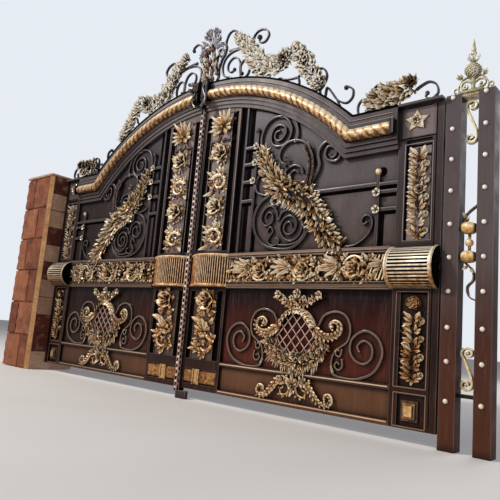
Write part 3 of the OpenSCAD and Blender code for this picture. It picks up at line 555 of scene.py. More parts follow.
def paint(
    name, stops, gloss=0.42, coat=0.04, far=0.6, edge=0.25, rim=(172, 152, 144), black=None,
    specular=0.14, mottle=1.0, hollow=0.06,
):
    """Enamel with a tone for each height in `stops`, as painted reflection of the sky and the ground,
    darker towards the far leaf as painted shade, with black in the hollows as painted shade and painted
    highlights along its outer edges. `black` gives a mask of places painted black as shade."""
    m = Nodes(name, gloss, 0.0, coat, specular)
    # Painted reflection: the tone by height stands for the sky and the ground that the gloss mirrors
    height = m.remap(m.axis(2), 0.0, TOP)
    base = m.ramp(height, [(z / TOP, shade(*c)) for z, c in stops.items()])
    along = m.math("SUBTRACT", m.axis(0), CENTRE_X)
    # Painted shade: darker towards the far leaf
    base = m.mix(m.remap(along, 0.5, -1.7, 0.0, far), base, FAR_SHADE)
    # Painted reflection: soft dark patches
    patches = m.remap(m.noise(2.6, 5.0), 0.38, 0.7)
    base = m.mix(m.math("MULTIPLY", patches, 0.28 * mottle), base, REFLECTION_PATCH_TONE)
    # Painted reflection: dark brownish streaks that run up and down
    streaks = m.remap(m.noise(5.0, 4.0, 0.6, (1, 1, 0.25)), 0.52, 0.78)
    base = m.mix(m.math("MULTIPLY", streaks, 0.3 * mottle), base, REFLECTION_STREAK_TONE, "SOFT_LIGHT")
    brush = m.noise(60.0, 3.0, 0.6, (1, 1, 0.08))
    base = m.mix(m.math("MULTIPLY", m.remap(brush, 0.5, 0.85), 0.14 * mottle), base, BRUSHED)
    # Painted highlights along outer edges, in the tone `rim`
    if edge:
        lit_edges = m.math("MULTIPLY", m.edges(0.006), edge)
        base = m.mix(lit_edges, base, shade(*rim))
    # Painted shade: near black in the hollows
    base = m.mix(m.hollows(hollow, 0.4, 0.97), HOLLOW_SHADE, base)
    # Places painted black as shade, given by the mask
    if black:
        base = m.mix(black(m), base, SHADE_BLACK)
    m.colour(base)
    m.roughness(m.remap(m.noise(8.0, 4.0), 0.3, 0.7, gloss * 0.8, gloss * 1.4))
    m.bump(m.noise(140.0, 3.0), 0.12, 0.002)
    return m.material


# Reddish light near the ground and pale light above the middle rail
WARM_CAST = (1.0, 0.9, 0.86)
COOL_CAST = (1.0, 1.0, 1.09)
CAST_LOW, CAST_HIGH = LOW_Z + 0.75, LOW_Z + 1.45


def gilding(name, dark, mid, light, metallic=0.35, gloss=0.38, bias=0.0, sink=0.0, depth=0.03, far=0.5):
    """Gold paint over brown: near black in the hollows as painted shade, bright on raised forms, with wear
    in patches, darker towards the far leaf as painted shade. `sink` darkens what lies below the middle
    rail's axis, as painted shade."""
    m = Nodes(name, gloss, metallic, 0.08, 0.3)
    wear = m.noise(30.0, 5.0, 0.62)
    level = m.math("ADD", m.relief(), m.remap(wear, 0.3, 0.7, -0.26 + bias, 0.22 + bias))
    # Painted shade: darker below the middle rail's axis
    if sink:
        drop = m.remap(m.axis(2), LOW_Z + DRUM_Z + 0.06, LOW_Z + DRUM_Z - 0.1, 0.0, sink)
        level = m.math("SUBTRACT", level, drop)
    gold = m.ramp(level, [(0.26, shade(*dark)), (0.54, shade(*mid)), (0.9, shade(*light))])
    cast = m.mix(m.remap(m.axis(2), CAST_LOW, CAST_HIGH), WARM_CAST, COOL_CAST)
    gold = m.mix(1.0, gold, cast, "MULTIPLY")
    along = m.math("SUBTRACT", m.axis(0), CENTRE_X)
    # Painted shade: darker towards the far leaf
    gold = m.mix(m.remap(along, -0.3, -2.5, 0.0, far), gold, tuple(0.6 * c for c in shade(*dark)))
    # Painted shade: near black in the hollows
    gold = m.mix(m.hollows(depth, 0.4, 0.92), tuple(0.25 * c for c in shade(*dark)), gold)
    m.colour(gold)
    m.roughness(m.remap(wear, 0.3, 0.75, gloss + 0.12, gloss - 0.06))
    m.bump(m.noise(190.0, 3.0), 0.18, 0.002)
    return m.material


# The sunk strips beside the meeting stile's plate, as distances from the gate's middle
STILE_STRIPS = ((0.052, 0.1195), (0.3865, 0.4645))


def stile_strip_shade(m):
    """The meeting stile's sunk strips with their side walls, painted black as shade."""
    across = m.math("ABSOLUTE", m.math("SUBTRACT", m.axis(0), CENTRE_X))
    first, second = (
        m.math("MULTIPLY", m.math("GREATER_THAN", across, low), m.math("LESS_THAN", across, high))
        for low, high in STILE_STRIPS
    )
    deep = m.math("GREATER_THAN", m.axis(1), FACE_Y + 0.0015)
    front = m.math("LESS_THAN", m.axis(1), FACE_Y + 0.03)
    return m.math("MULTIPLY", m.math("MULTIPLY", m.math("ADD", first, second), deep), front)


def arch_shade_mask(m):
    """Painted black as shade: the arch's outer edge, the clasp at its crown and the stop at its ear."""
    return m.math("LESS_THAN", m.axis(1), FACE_Y - 0.05)


# Enamels, with their tones by height over the ground in metres. These tones are painted reflection
# over each enamel's own colour: paler, greyer and in places bluer high up, where the gloss mirrors the
# sky, and redder low down, where it mirrors the ground. `edge` and `rim` give painted highlights
# along outer edges.
FRAME_LOW = {0: (54, 27, 17), 0.6: (32, 14, 10), 1: (52, 34, 29)}
FRAME_TONES = {**FRAME_LOW, 1.5: (54, 44, 44), 2.2: (62, 52, 55), 2.6: (118, 100, 94), 3.2: (124, 110, 106)}
IRON = paint("iron_enamel", FRAME_TONES, black=stile_strip_shade)
ARCH_IRON = paint(
    "arch_enamel",
    {0: (70, 56, 54), 2: (78, 68, 70), 2.5: (92, 82, 84), 2.85: (128, 118, 116), 3.2: (156, 147, 144)},
    far=0.12, edge=0.1, black=arch_shade_mask,
)
# The rail's tones by height: its top moulding paler, a painted reflection, and its sunk band behind the
# foliage near black, a painted shade
RAIL_IRON = paint(
    "rail_enamel",
    {
        0: (84, 60, 46), 0.95: (104, 80, 64), 1.04: (104, 80, 64), 1.08: (24, 12, 8), 1.2: (24, 12, 8),
        1.245: (160, 128, 106), 3.2: (160, 128, 106),
    },
    rim=(210, 182, 156), edge=0.4,
)
KICK_IRON = paint(
    "kick_enamel", {0: (92, 58, 38), 0.28: (104, 68, 44), 0.36: (60, 34, 26), 3.2: (60, 34, 26)}, edge=0.0,
    far=0.45,
)
POST_IRON = paint(
    "post_enamel",
    {0: (84, 44, 24), 0.7: (76, 42, 30), 1.2: (92, 78, 76), 2.2: (86, 76, 78), 3.2: (86, 76, 78)}, far=0.0,
    edge=0.2,
)
STAR_PLATE = paint(
    "plate_enamel", {**FRAME_LOW, 1.33: (118, 104, 102), 2.3: (124, 112, 112)}, edge=0.3, hollow=0.012,
)
STILE_PLATE = paint(
    "stile_plate_enamel",
    {0: (66, 42, 34), 0.9: (60, 44, 40), 1.34: (112, 98, 94), 1.9: (128, 114, 110), 2.7: (150, 132, 124)},
    edge=0.1, far=0.35, hollow=0.012,
)
# Near black with little shine: the drum caps' own black, and painted shade in the strips, lines and plates
# that use it
BLACK = paint("black_iron_and_shade", {0: (6, 3, 2), 3.2: (6, 4, 4)}, 0.8, 0.0, 0.0, 0.0, specular=0.03, mottle=0.1)
SHEET = paint(
    "sheet_enamel",
    {
        0: (88, 36, 18), 0.5: (86, 31, 14), 0.75: (62, 21, 10), 0.92: (26, 9, 6), 1: (24, 9, 7),
        1.3: (84, 68, 64), 1.6: (94, 84, 82), 2.1: (86, 80, 84), 3.2: (96, 90, 96),
    },
    gloss=0.34, coat=0.07, far=0.9, edge=0.0,
)
SCROLL_IRON = paint(
    "scroll_iron",
    {0: (60, 42, 38), 1.3: (62, 52, 52), 2.3: (74, 66, 70), 2.5: (40, 42, 54), 3.2: (38, 44, 64)},
    gloss=0.3, coat=0.1, far=0.3, edge=0.4, rim=(190, 172, 162), specular=0.3,
)
LOWER_IRON = paint(
    "lower_scroll_iron", {0: (98, 76, 64), 3.2: (98, 76, 64)}, gloss=0.3, coat=0.1, far=0.25, edge=0.7,
    rim=(216, 184, 158), specular=0.3,
)
SPRAY_IRON = paint(
    "spray_iron", {0: (62, 64, 82), 3.2: (66, 68, 88)}, gloss=0.3, coat=0.1, far=0.0, edge=0.9,
    rim=(206, 200, 206), specular=0.3,
)
GILT = gilding("antique_gilt", (46, 24, 12), (200, 142, 76), (255, 241, 204), bias=0.04)
STILE_GOLD = gilding(
    "stile_gold", (62, 32, 14), (212, 152, 80), (255, 242, 204), bias=0.02, sink=0.12, far=0.4,
)
WREATH_GOLD = gilding("wreath_gold", (52, 30, 15), (210, 158, 92), (255, 246, 214), bias=0.06, far=0.45)
ROPE_GOLD = gilding("rope_gold", (104, 62, 32), (222, 182, 124), (255, 250, 224), 0.2, 0.36, 0.04)
DRUM_GOLD = gilding("drum_gold", (54, 32, 20), (204, 158, 102), (255, 246, 216), 0.3, 0.36, 0.12, sink=0.35)
CAPITAL_GOLD = gilding(
    "capital_gold", (78, 46, 30), (190, 132, 74), (255, 234, 188), 0.3, 0.36, 0.0, sink=0.1,
)
FOOT_GOLD = gilding("foot_gold", (62, 36, 16), (168, 120, 64), (240, 204, 144), 0.35, 0.36, -0.05)
CREST_GOLD = gilding(
    "crest_gold", (112, 84, 60), (255, 230, 184), (255, 254, 236), 0.0, 0.45, 0.16, depth=0.022, far=0.2,
)
STEM_GOLD = gilding("stem_gold", (36, 22, 16), (160, 114, 76), (252, 232, 198), 0.2, 0.4, 0.02, far=0.2)
DARK_ROSE = gilding("dark_rose", (26, 15, 9), (74, 48, 30), (146, 112, 72), 0.3, 0.4)
LATTICE = gilding("lattice_bronze", (52, 30, 26), (160, 120, 108), (236, 204, 188), 0.3, 0.34)
CREAM = gilding("cream_gilt", (184, 154, 116), (236, 220, 190), (255, 250, 236), 0.15, 0.34)
RUNG = gilding("rung_enamel", (80, 58, 50), (190, 162, 146), (240, 222, 204), 0.0, 0.45)
BRONZE = gilding("bronze_brown", (30, 20, 15), (84, 66, 56), (176, 150, 128), 0.3, 0.34)
BRONZE_GOLD = gilding("bronze_gold", (46, 24, 11), (192, 128, 64), (250, 216, 160), 0.35, 0.38, 0.05)
BEAD = paint(
    "bead_enamel",
    {
        0: (156, 108, 70), 0.9: (140, 104, 80), 1.3: (138, 122, 118), 1.9: (154, 140, 138),
        3.2: (168, 154, 150),
    },
    edge=0.1, far=0.5, mottle=0.6,
)
PALE_GILT = gilding("pale_gilt", (70, 48, 28), (210, 172, 118), (255, 246, 216), 0.3, 0.34, 0.06)
# Pale tones for the kick panel's edge strips: painted highlights
KICK_HIGHLIGHT = paint(
    "painted_edge_highlight", {0: (224, 190, 158), 0.2: (206, 170, 140), 0.4: (222, 190, 160), 3.2: (222, 190, 160)},
    edge=0.0, far=0.55, mottle=0.5,
)
FINIAL_GOLD = gilding("finial_gold", (78, 68, 42), (188, 174, 126), (248, 240, 204), 0.3, 0.36)
POST_GOLD = gilding("post_gold", (78, 60, 34), (212, 190, 134), (255, 246, 214), 0.3, 0.36)
BULB_GOLD = gilding("bulb_gold", (120, 76, 34), (232, 182, 106), (255, 242, 204), 0.3, 0.34)


def stone(name, tones, seed, blotch=(226, 190, 160), stain=(96, 56, 40), amount=0.4):
    """Rough dressed stone: each block has its own tone, carried by its relief value."""
    m = Nodes(name, 0.85, 0.0, 0.0, 0.3)
    base = m.ramp(m.relief(), [(i / (len(tones) - 1), shade(*c)) for i, c in enumerate(tones)])
    grain = m.noise(38.0, 8.0, 0.7, (1, 1, 1.3 + 0.1 * seed))
    base = m.mix(m.remap(grain, 0.35, 0.7, 0.0, 0.5), base, shade(96, 56, 40), "MULTIPLY")
    base = m.mix(m.remap(m.noise(9.0, 5.0), 0.5, 0.8, 0.0, 0.4), base, shade(*blotch))
    base = m.mix(m.remap(m.noise(5.0 + seed, 7.0, 0.66), 0.46, 0.66, 0.0, amount), base, shade(*stain))
    m.colour(base)
    m.bump(m.noise(70.0, 9.0, 0.72), 0.7, 0.012)
    return m.material


SIDE_STONE = stone("banded_stone", [(84, 34, 23), (108, 46, 32), (172, 134, 108), (206, 168, 140)], 0)
FRONT_STONE = stone(
    "front_stone", [(120, 66, 42), (142, 82, 54), (160, 100, 68)], 1, (184, 128, 92), (80, 42, 34), 0.85,
)
TAN_STONE = stone("tan_stone", [(206, 150, 96), (222, 172, 118)], 2)

# Each leaf's name and whether it is drawn mirrored
SIDES = (("right", False), ("left", True))


def both(shape, name, material, slot, *nodes, crease=42):
    """Builds a shape on the right leaf and its mirror image on the left leaf."""
    for side, mirrored in SIDES:
        shape.build(
            f"{side}_{name}", material, f"{side}_leaf", slot, *[f"{side}_{n}" for n in nodes],
            mirrored=mirrored, crease=crease,
        )


# Rope moulding along the arch and the ear

# Where the arch's mouldings begin beside the clasp and beside the meeting edge
CLASP_X, MEET_GAP = 0.099, 0.035
ROPE_STEP = 0.007


def rope_path():
    """The rope's centre line: the arch, the knee and the flat run on the ear."""
    start = math.degrees(math.acos(CLASP_X / ROPE_R))
    end = math.degrees(math.asin((EAR_ROPE_Z - ARCH_Z) / ROPE_R))
    arch = spiral((0, ARCH_Z), ROPE_R, ROPE_R, start, end + 0.9, 400)
    knee = ROPE_R * math.cos(math.radians(end))
    bend = smooth([arch[-1], (knee + 0.004, EAR_ROPE_Z + 0.004), (knee + 0.045, EAR_ROPE_Z)], 6)
    return even(np.vstack([arch, bend[1:], (PANEL_OUT - 0.031, EAR_ROPE_Z)]), ROPE_STEP)


def arch_rope():
    """The gilt rope of three strands along the arch and the ear."""
    shape = Shape()
    path = rope_path()
    strands, lead, sides = 3, 0.213, 48
    s = np.arange(len(path))[:, None] * ROPE_STEP
    turn = np.linspace(0, 2 * np.pi, sides, endpoint=False)[None]
    lobe = np.abs(np.cos(strands / 2 * (turn + 2 * np.pi * s / lead))) ** 0.36
    r = (ROPE_D / 2 - 0.001) * (0.92 + 0.08 * lobe)
    section = np.stack([r * np.cos(turn), r * np.sin(turn)], -1)
    # The rope's upper side has more relief and so a paler tone: a painted highlight from light above
    sweep(shape, path, section, -ROPE_D / 2, 0.1 + 0.48 * lobe + 0.26 * np.cos(turn))
    both(shape, "rope_moulding", ROPE_GOLD, "rope_gold", "arch_rope", crease=70)


arch_rope()


# The arch's dark outer edge: its radius, and how far below the ear's top it runs
EDGE_R = 2.452
EDGE_DROP = 0.008


def knee_angle(r, z):
    """Where an arc of the arch comes down to a height, in degrees."""
    return math.degrees(math.asin((z - ARCH_Z) / r))


def arch_mouldings():
    """Dark outer edge painted near black as shade, fillets along the arch's face, and the stepped frame round
    the ear rope.
    """
    dark, light = Shape(), Shape()

    def arc(target, r, width, y, back, edge, a0, a1, n=120):
        sweep(target, spiral((0, ARCH_Z), r, r, a0, a1, n), flat_section(width, y, back, edge))

    edge_z = EAR_Z - EDGE_DROP
    start = math.degrees(math.acos(CLASP_X / EDGE_R))
    arc(dark, EDGE_R, 0.014, -0.0515, -0.0445, 0.002, start, knee_angle(EDGE_R, edge_z), 160)
    sweep(dark, [(EAR_X, edge_z), (PANEL_OUT, edge_z)], flat_section(0.014, -0.0515, -0.0445, 0.002))
    fillets = ((2.412, -0.0475, 0.006, light), (2.406, -0.0458, 0.005, dark), (2.379, -0.0465, 0.006, light))
    for r, y, width, target in fillets:
        a0, a1 = math.degrees(math.acos(CLASP_X / r)), knee_angle(r, EAR_Z - (ARCH_R - r) * 1.05)
        arc(target, r, width, y, -0.0445, 0.001, a0, a1)
        knee = (r * math.cos(math.radians(a1)), ARCH_Z + r * math.sin(math.radians(a1)))
        sweep(target, [knee, (PANEL_OUT - 0.034, knee[1])], flat_section(width, y, -0.0445, 0.001))
    for r, y in ((2.274, -0.036), (2.24, -0.024), (2.211, -0.012)):
        a0, a1 = math.degrees(math.acos(MEET_GAP / r)), knee_angle(r, EAR_Z - (ARCH_R - r) * 1.05)
        arc(light, r, 0.005, y - 0.002, y + 0.001, 0.001, a0, a1 + 0.6)
    for i in range(3):
        x = PANEL_OUT - 0.004 - 0.01 * i
        ends = [(x, EAR_ROPE_Z - 0.06), (x, EAR_ROPE_Z + 0.06)]
        sweep(light, ends, flat_section(0.003, -0.104 + 0.001 * i, -0.101, 0.0008))
    # The outer edge and the middle fillet are painted near black, as shade
    both(dark, "arch_edge", BLACK, "dark_iron")
    both(light, "arch_fillets", BEAD, "iron")


arch_mouldings()


# Scrolls and bars of the upper panel

# The three upright bars, the height of the ball on two of them, and the arch's inner edge
BAR_A, BAR_B, FRAME_BAR = 0.727, 1.919, 0.568
BALL_A, BALL_B = 2.3, 1.752
SHEET_ARCH_R = 2.178


def upper_scrolls():
    """The dark scrolls of the upper panel and the leaves on two of them."""
    shape, horn = Shape(), Shape()

    def strand(width, taper, *values):
        """A scroll through points given in millimetres."""
        scroll(shape, curve(*values), width, 0.0, SEAT_Y, taper)

    strand(
        0.021, 0.7, 818, 2086, 765, 2170, 763, 2270, 820, 2370, 920, 2405, 1020, 2370, 1085, 2270, 1060, 2170,
        985, 2128, 900, 2150, 866, 2215, 885, 2290, 940, 2322, 1005, 2300, 1027, 2245, 990, 2190, 940, 2182,
        908, 2220, 920, 2262, 958, 2268,
    )
    strand(0.026, 0.8, 955, 2402, 1060, 2382, 1135, 2290, 1152, 2190, 1128, 2135)
    strand(
        0.02, 1.0, 1040, 1955, 995, 1985, 972, 2040, 995, 2105, 1060, 2148, 1140, 2152, 1220, 2125,
        1280, 2060, 1300, 1960, 1290, 1860,
    )
    strand(
        0.03, 0.5, 1290, 1725, 1352, 1810, 1390, 1900, 1372, 1980, 1384, 2040, 1446, 2086, 1530, 2055,
        1580, 1980, 1565, 1925, 1520, 1912, 1462, 1935, 1437, 1985, 1462, 2040, 1520, 2028, 1545, 1975,
        1510, 1942, 1478, 1975,
    )
    strand(0.02, 0.75, 1030, 1840, 1050, 1890, 1100, 1925, 1155, 1932, 1210, 1905, 1235, 1855)
    strand(0.014, 0.75, 1100, 1830, 1115, 1872, 1155, 1888, 1190, 1860)
    strand(
        0.023, 0.9, 985, 1712, 905, 1698, 800, 1640, 745, 1520, 772, 1380, 880, 1272, 1036, 1232, 1180, 1240,
        1285, 1322, 1326, 1430, 1308, 1540, 1255, 1620,
    )
    strand(
        0.019, 0.7, 1018, 1480, 1050, 1540, 1125, 1557, 1205, 1528, 1262, 1440, 1240, 1345, 1165, 1295,
        1085, 1320, 1036, 1400, 1066, 1480, 1140, 1505, 1200, 1455, 1190, 1380, 1130, 1348, 1080, 1385,
        1090, 1440, 1135, 1452, 1158, 1415,
    )
    strand(0.016, 0.7, 1262, 1440, 1290, 1370, 1230, 1290, 1130, 1262, 1030, 1268)
    strand(
        0.017, 0.65, 1005, 1480, 990, 1555, 925, 1607, 852, 1575, 828, 1495, 880, 1438, 948, 1465, 950, 1530,
        900, 1552, 874, 1505,
    )
    strand(
        0.014, 0.8, 905, 1385, 935, 1425, 966, 1385, 932, 1340, 915, 1300, 960, 1265, 1020, 1275, 1035, 1310,
        1002, 1328,
    )
    strand(0.02, 0.75, 865, 1885, 800, 1905, 750, 1870, 734, 1800, 757, 1745, 820, 1715, 900, 1705)
    strand(
        0.014, 0.8, 1660, 1222, 1760, 1238, 1850, 1305, 1884, 1380, 1872, 1435, 1830, 1452, 1796, 1420,
        1812, 1385, 1845, 1400,
    )
    at = smooth(mm(1300, 1740, 1318, 1850, 1315, 1950, 1275, 2050), 4)
    for s in (-1, 1):
        leaves(horn, LOBED, at, -0.001, headings(at) + s * 32, 0.062, 0.034, 12, s * 12)
    leaves(horn, LOBED, mm(1045, 1975, 1055, 1985, 1035, 1960), -0.001, (20, 80, 320), 0.055, 0.04, 14)
    both(shape, "upper_scrollwork", SCROLL_IRON, "dark_iron", "upper_scrolls")
    both(horn, "horn_leaves", BRONZE, "gilt", "upper_scrolls")


def upper_bars():
    """The three upright bars with their rungs, balls and blooms, and the dark gaps between them, painted
    black as shade, with painted shadows under the rungs and beside one ball.
    """
    bars, gold, gaps = Shape(), Shape(), Shape()
    half, back = 0.012, SEAT_Y

    def arch_at(x):
        """Height of the arch's inner edge."""
        return ARCH_Z + math.sqrt(SHEET_ARCH_R**2 - x * x)

    def upright(x, z1):
        scroll(bars, [(x, RAIL_TOP), (x, z1)], 2 * half, 0.0, back, 1.0, 0.2)

    def rung(x0, x1, z, thick=0.028):
        scroll(bars, [(x0, z), (x1, z)], thick, -0.003, back, 1.0, 0.2)
        low = z - thick / 2
        # A dark plate under the rung: its painted shadow
        box(gaps, x0, x1, back - 0.0012, back + 0.0002, low - 0.022, low)

    # A dark strip on the sheet: painted shade
    def gap(x0, x1, z0, z1):
        box(gaps, x0, x1, back - 0.001, back + 0.0002, z0, z1)

    upright(FRAME_BAR + 0.008, arch_at(FRAME_BAR))
    upright(BAR_A - 0.01, BALL_A - 0.008)
    upright(BAR_B, BALL_B)
    for z in (1.674, 1.85, 2.012, 2.166):
        rung(FRAME_BAR + 0.02, BAR_A - 0.018, z)
    for z in (1.485, 1.616, 1.674):
        rung(BAR_B + half, PANEL_OUT, z, 0.026)
    rung(1.36, BAR_B - half, 1.678, 0.03)
    gap(PANEL_IN, FRAME_BAR - 0.006, RAIL_TOP, arch_at(PANEL_IN))
    gap(0.603, 0.652, RAIL_TOP, arch_at(0.652))
    gap(BAR_A + 0.002, BAR_A + 0.03, RAIL_TOP, 1.64)
    gap(BAR_B + 0.014, BAR_B + 0.048, RAIL_TOP, 1.45)
    # A dark disc beside the outer bar's ball: its painted shadow
    ball(gaps, (BAR_B + 0.022, back, 1.772), 0.036, 7, 20, 0.5, 0.03)
    for x, z, target in ((BAR_A - 0.01, BALL_A - 0.008, bars), (BAR_B, BALL_B, gold)):
        ball(target, (x, 0.0015, z + 0.02), 0.0235, 11, 18, 0.75, 0.9)
        turned(target, (x, 0.011, z - 0.006), mm(4, 0, 16, 0, 18, 4, 10, 10, 4, 10))
    blooms = Shape()
    for x, z in (
        (BAR_A - 0.02, 1.852), (BAR_A - 0.012, 2.016), (BAR_A - 0.012, 2.168), (BAR_B - 0.006, 1.485),
        (BAR_B - 0.006, 1.612),
    ):
        whorl(blooms, PETAL, (x, z), -0.004, 5, 90, 0.034, 0.032, 10, tone=0.25)
        ball(blooms, (x, -0.01, z), 0.008, 6, 10, 0.0)
    both(bars, "upright_bars", SCROLL_IRON, "iron", "upper_bars")
    both(gold, "bar_gilding", GILT, "gilt", "upper_bars")
    both(blooms, "bar_blooms", PALE_GILT, "gilt", "upper_bars")
    both(gaps, "shadow_plates", BLACK, "dark_iron")


upper_scrolls()
upper_bars()


# Leaf garland across the upper panel


def upper_garland():
    """Two branches of leaves from a rose over the middle rail."""
    shape = Shape()
    left = curve(1060, 1735, 995, 1775, 930, 1850, 872, 1935, 830, 2025, 805, 2095)
    right = curve(
        985, 1750, 1090, 1712, 1205, 1665, 1300, 1610, 1390, 1505, 1470, 1375, 1545, 1275, 1590, 1235,
    )
    branches = (
        (left, (0.17, 0.17, 0.14, 0.1, 0.07), 0.074), (right, (0.17, 0.19, 0.18, 0.17, 0.14, 0.09), 0.078),
    )
    for y, spread, step in ((0.01, 80, 0.03), (-0.004, 52, 0.033)):
        for spine, wide, length in branches:
            leaf_mass(shape, spine, y, wide, length, 0.026, step, 4, 0.12, BLADE, spread, 16, 22)
    fringes = (
        (mm(1010, 1690, 1110, 1632, 1220, 1590, 1300, 1530), 0.028, -0.006, 235, 8, 0.084, 0.024, 0.0, 0.3),
        (mm(1340, 1630, 1430, 1520, 1520, 1390, 1590, 1290), 0.03, -0.014, 4, 8, 0.08, 0.028, 0.1, 0.35),
        (
            mm(770, 2100, 800, 2010, 850, 1915, 900, 1830, 960, 1750), 0.03, -0.004, 165, 18, 0.052, 0.022,
            0.05, 0.3,
        ),
    )
    for points, step, y, heading, scatter, length, width, dull, bright in fringes:
        at = even(smooth(points), step)
        angle = heading + rng.normal(0, scatter, len(at))
        leaves(shape, BLADE, at, y, angle, length, width, 14, 0, rng.uniform(dull, bright, len(at)))
    rose(shape, (0.975, 1.645), -0.004, 0.045, 3)
    both(shape, "leaf_garland", WREATH_GOLD, "gilt", "upper_garland")


upper_garland()


# Gilt relief in the stiles' panels and along the middle rail

# The middles of the meeting stile's and the hinge stile's panels
MEET_X = 0.2535
HINGE_X = 2.225
STAR_AT = (2.206, 2.104)
ROSETTE_Z = 0.82


def c_scroll(shape, centre, r, y, turn, side, thick):
    """A C of acanthus with a curled end and a bud at its heart."""
    path = spiral(centre, r, r * 0.3, turn, turn + side * 400, 44)
    acanthus_scroll(shape, path, y, thick, thick * 0.4, r * 0.5, r * 0.42, r * 0.45, -side, 0.8)
    ball(shape, (centre[0], y - 0.01, centre[1]), r * 0.16, 7, 10, 0.6)


def sprig(shape, at, y, angle, size, count, spread, tone=0.05, slim=0.45, form=LOBED):
    """A fan of leaves from one point."""
    k = np.linspace(-1, 1, count)
    leaves(
        shape, form, np.repeat([at], count, 0), y - 0.006 * (1 - np.abs(k)),
        angle + k * spread / 2 + rng.normal(0, 6, count),
        size * (1 - 0.22 * np.abs(k)) * rng.uniform(0.86, 1.1, count), size * slim,
        pitch=14 + rng.normal(0, 4, count), tone=tone + rng.uniform(-0.15, 0.15, count),
    )


def open_flower(shape, at, y, r, turn=0.0):
    """A flower of broad cupped petals with leaves behind and a sunk heart."""
    whorl(shape, LOBED, at, y, 6, turn + 30, r * 1.25, r * 0.62, 4, tone=-0.12)
    for count, scale, lift, pitch in ((5, 0.92, 0.1, 14), (4, 0.58, 0.22, 34)):
        long = r * scale
        whorl(shape, PETAL, at, y - lift * r, count, turn + 200 * lift, long, long * 1.05, pitch, tone=0.12)
    ball(shape, (at[0], y - 0.2 * r, at[1]), r * 0.13, 6, 10, 0.1)


def dark_leaves(shape, x0, x1, z0, z1, y, count):
    """Small dark leaves that fill the ground behind the gilt ones: dark patina with painted shadow in the
    gaps of the foliage.
    """
    spots = np.stack([rng.uniform(x0, x1, count), rng.uniform(z0, z1, count)], -1)
    leaves(
        shape, LOBED, spots, y, rng.uniform(0, 360, count), 0.042, 0.028, 6, 0,
        rng.uniform(-0.8, -0.25, count),
    )


def meeting_foliage(shape):
    """The garland up the meeting stile: flowers, C-scrolls and a fan of leaves at its top."""
    x, y = MEET_X + 0.022, PLATE_Y
    for z0, z1 in ((2.1, 2.26), (1.78, 2.0), (1.57, 1.74), (1.29, 1.46), (0.7, 0.87), (0.33, 0.62)):
        dark_leaves(shape, x - 0.085, x + 0.085, z0, z1, y + 0.003, 18)
    dark_leaves(shape, x - 0.1, x + 0.095, 2.34, 2.55, y + 0.003, 34)
    for z0, z1, count in (
        (1.29, 1.46, 14), (1.57, 1.74, 10), (1.8, 2.0, 14), (2.1, 2.26, 10), (0.32, 0.86, 46),
    ):
        spots = np.stack([x + rng.uniform(-0.078, 0.078, count), rng.uniform(z0, z1, count)], -1)
        turn = np.degrees(np.arctan2(rng.normal(0.5, 0.8, count), (spots[:, 0] - x) * 12))
        leaves(shape, LOBED, spots, y - 0.004, turn, 0.052, 0.03, 14, 0, rng.uniform(-0.25, 0.25, count))
    for s in (-1, 1):
        for angle, length, lift, tone in (
            (76, 0.165, 0.0, 0.1), (54, 0.175, 0.006, 0.22), (30, 0.135, 0.002, 0.0),
            (4, 0.105, 0.008, 0.15), (-26, 0.13, 0.003, 0.2), (-58, 0.125, 0.007, 0.0),
        ):
            a = 90 - s * (90 - angle) + rng.normal(0, 4)
            length = length * rng.uniform(0.9, 1.05)
            tone = tone + rng.uniform(-0.1, 0.1)
            leaves(shape, LOBED, [(x + s * 0.008, 2.435)], y - lift, a, length, 0.046, 14, s * 10, tone)
        c_scroll(shape, (x + s * 0.066, 2.5 - 0.02 * s), 0.024, y - 0.006, 90, s, 0.016)
        leaves(shape, PLUME, [(x + s * 0.004, 2.42)], y - 0.016, 90 - s * 22, 0.12, 0.03, 16, 0, -0.1)
        leaves(shape, PLUME, [(x + s * 0.004, 2.43)], y - 0.012, -90 + s * 30, 0.09, 0.03, 16, 0, -0.05)
        ball(shape, (x + s * 0.026, y - 0.006, 2.312), 0.01, 6, 8, 0.1)
    ball(shape, (x, y - 0.022, 2.425), 0.022, 7, 12, 0.3)
    for z in (2.175, 1.655):
        open_flower(shape, (x, z), y - 0.006, 0.09, z * 300)
        sprig(shape, (x + 0.045, z - 0.06), y, -50, 0.06, 3, 90, 0.2)
        sprig(shape, (x - 0.045, z + 0.06), y, 130, 0.05, 3, 90, 0.2)
        ball(shape, (x + 0.012, y - 0.008, z - 0.115), 0.013, 6, 8, 0.7)
        ball(shape, (x - 0.02, y - 0.008, z - 0.105), 0.01, 6, 8, 0.7)
    for z in (1.89, 1.375):
        c_scroll(shape, (x, z), 0.084, y - 0.004, 150, -1, 0.044)
        sprig(shape, (x + 0.03, z + 0.075), y - 0.004, 80, 0.09, 4, 120, 0.2)
        sprig(shape, (x - 0.05, z + 0.06), y, 150, 0.085, 3, 90, 0.25)
        sprig(shape, (x + 0.06, z - 0.06), y, -30, 0.055, 3, 110, 0.1)
        leaves(shape, LOBED, [(x - 0.045, z - 0.07)], y, 212, 0.11, 0.044, 12, tone=0.25)
    open_flower(shape, (x, 0.79), y - 0.006, 0.098, 20)
    sprig(shape, (x, 0.85), y, 90, 0.06, 5, 150, form=ACANTHUS)
    for s in (-1, 1):
        curl = spiral((x + s * 0.054, 0.664), 0.042, 0.012, 90 - s * 60, 90 + s * 230, 20)
        acanthus_scroll(shape, curl, y, 0.03, 0.012, 0.05, 0.04, 0.026, s, 0.95)
        leaves(shape, LOBED, [(x + s * 0.02, 0.585)], y, 90 - s * 62, 0.12, 0.06, 14, tone=0.25)
    sprig(shape, (x, 0.51), y, 90, 0.125, 5, 120, 0.15)
    c_scroll(shape, (x - 0.034, 0.53), 0.066, y, 60, 1, 0.036)
    c_scroll(shape, (x + 0.006, 0.4), 0.086, y, 120, -1, 0.046)
    sprig(shape, (x - 0.07, 0.37), y, 200, 0.08, 3, 110, 0.2)
    sprig(shape, (x + 0.075, 0.46), y, 20, 0.08, 3, 120, 0.2)
    sprig(shape, (x, 0.325), y, -90, 0.065, 5, 170, 0.1)


